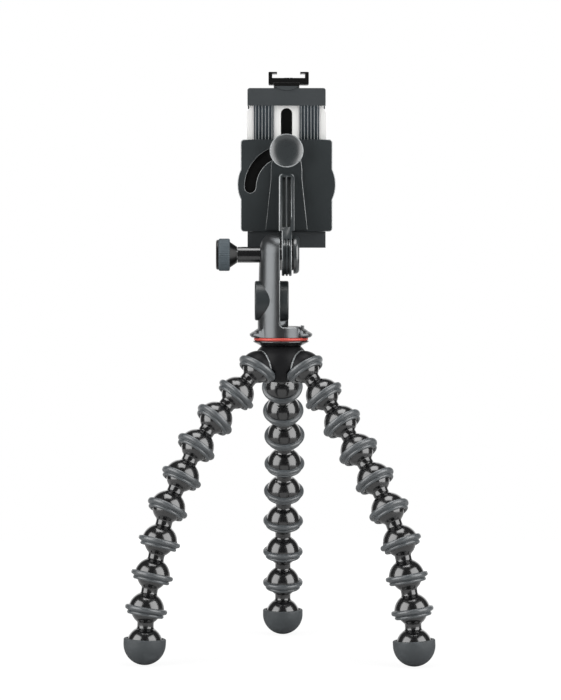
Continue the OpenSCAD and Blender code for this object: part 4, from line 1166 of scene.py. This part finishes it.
def softbox(name, azimuth, elevation, distance, width, height, power, aim):
    """An area lamp that looks at a point, placed by its direction seen from there."""
    lamp = bpy.data.lights.new(name, "AREA")
    lamp.shape = "RECTANGLE"
    lamp.size, lamp.size_y = width, height
    lamp.energy = power
    made = bpy.data.objects.new(name, lamp)
    a, e = math.radians(azimuth), math.radians(elevation)
    back = Vector((math.sin(a) * math.cos(e), -math.cos(a) * math.cos(e), math.sin(e)))
    made.location = aim + back * distance
    made.rotation_euler = back.to_track_quat("Z", "Y").to_euler()
    made.visible_camera = False
    bpy.context.scene.collection.objects.link(made)


class TRIPOD_OT_stage(bpy.types.Operator):
    """Makes the camera, the softboxes, the world and the floor"""

    bl_idname = "tripod.stage"
    bl_label = "Stage"

    def execute(self, context):
        scene, s = context.scene, context.scene.tripod_studio
        lens = bpy.data.cameras.new("camera")
        lens.sensor_width = 36.0
        lens.lens = s.focal
        lens.clip_start, lens.clip_end = 0.05, 50.0
        camera = bpy.data.objects.new("camera", lens)
        camera.location = (HUB.x - s.aside, HUB.y - s.distance, s.height)
        camera.rotation_euler = (math.pi / 2 - s.pitch, 0, 0)
        scene.collection.objects.link(camera)
        scene.camera = camera
        studio_world()
        studio_floor()
        aim, top_share = Vector((0, HUB.y, 0.16)), 0.28
        for side, azimuth in (("left", -60), ("right", 60)):
            softbox(f"softbox_{side}", azimuth, 12, 1.5, 1.5, 2.2, s.softbox, aim)
        softbox("softbox_top", 0, 87, 1.4, 0.9, 0.9, s.softbox * top_share, aim)
        scene.view_settings.view_transform = "Standard"
        return {"FINISHED"}


class TRIPOD_PT_panel(bpy.types.Panel):
    """Lists the tripod's operators"""

    bl_label = "Tripod"
    bl_idname = "TRIPOD_PT_panel"
    bl_space_type = "VIEW_3D"
    bl_region_type = "UI"
    bl_category = "Tripod"

    def draw(self, context):
        for step in STEPS:
            self.layout.operator(step.bl_idname)


GROUPS = {
    "tripod_legs": LegSizes,
    "tripod_mount": MountSizes,
    "tripod_colours": FinishColours,
    "tripod_studio": StudioSettings,
}
STEPS = (
    TRIPOD_OT_legs,
    TRIPOD_OT_hub,
    TRIPOD_OT_mount,
    TRIPOD_OT_arm,
    TRIPOD_OT_clamp,
    TRIPOD_OT_jaw,
    TRIPOD_OT_springs,
    TRIPOD_OT_stage,
)


def register():
    """Registers the groups, operators and panel."""
    for group in GROUPS.values():
        bpy.utils.register_class(group)
    for step in STEPS:
        bpy.utils.register_class(step)
    bpy.utils.register_class(TRIPOD_PT_panel)
    for name, group in GROUPS.items():
        setattr(bpy.types.Scene, name, bpy.props.PointerProperty(type=group))


def unregister():
    """Removes what register() added."""
    for name in GROUPS:
        delattr(bpy.types.Scene, name)
    bpy.utils.unregister_class(TRIPOD_PT_panel)
    for step in reversed(STEPS):
        bpy.utils.unregister_class(step)
    for group in reversed(list(GROUPS.values())):
        bpy.utils.unregister_class(group)


def main():
    """Builds everything in order."""
    register()
    mix_finishes(bpy.context.scene.tripod_colours)
    bpy.ops.tripod.stage()
    bpy.ops.tripod.legs()
    bpy.ops.tripod.hub()
    bpy.ops.tripod.mount()
    bpy.ops.tripod.arm()
    bpy.ops.tripod.clamp()
    bpy.ops.tripod.jaw()
    bpy.ops.tripod.springs()


if __name__ == "__main__":
    main()
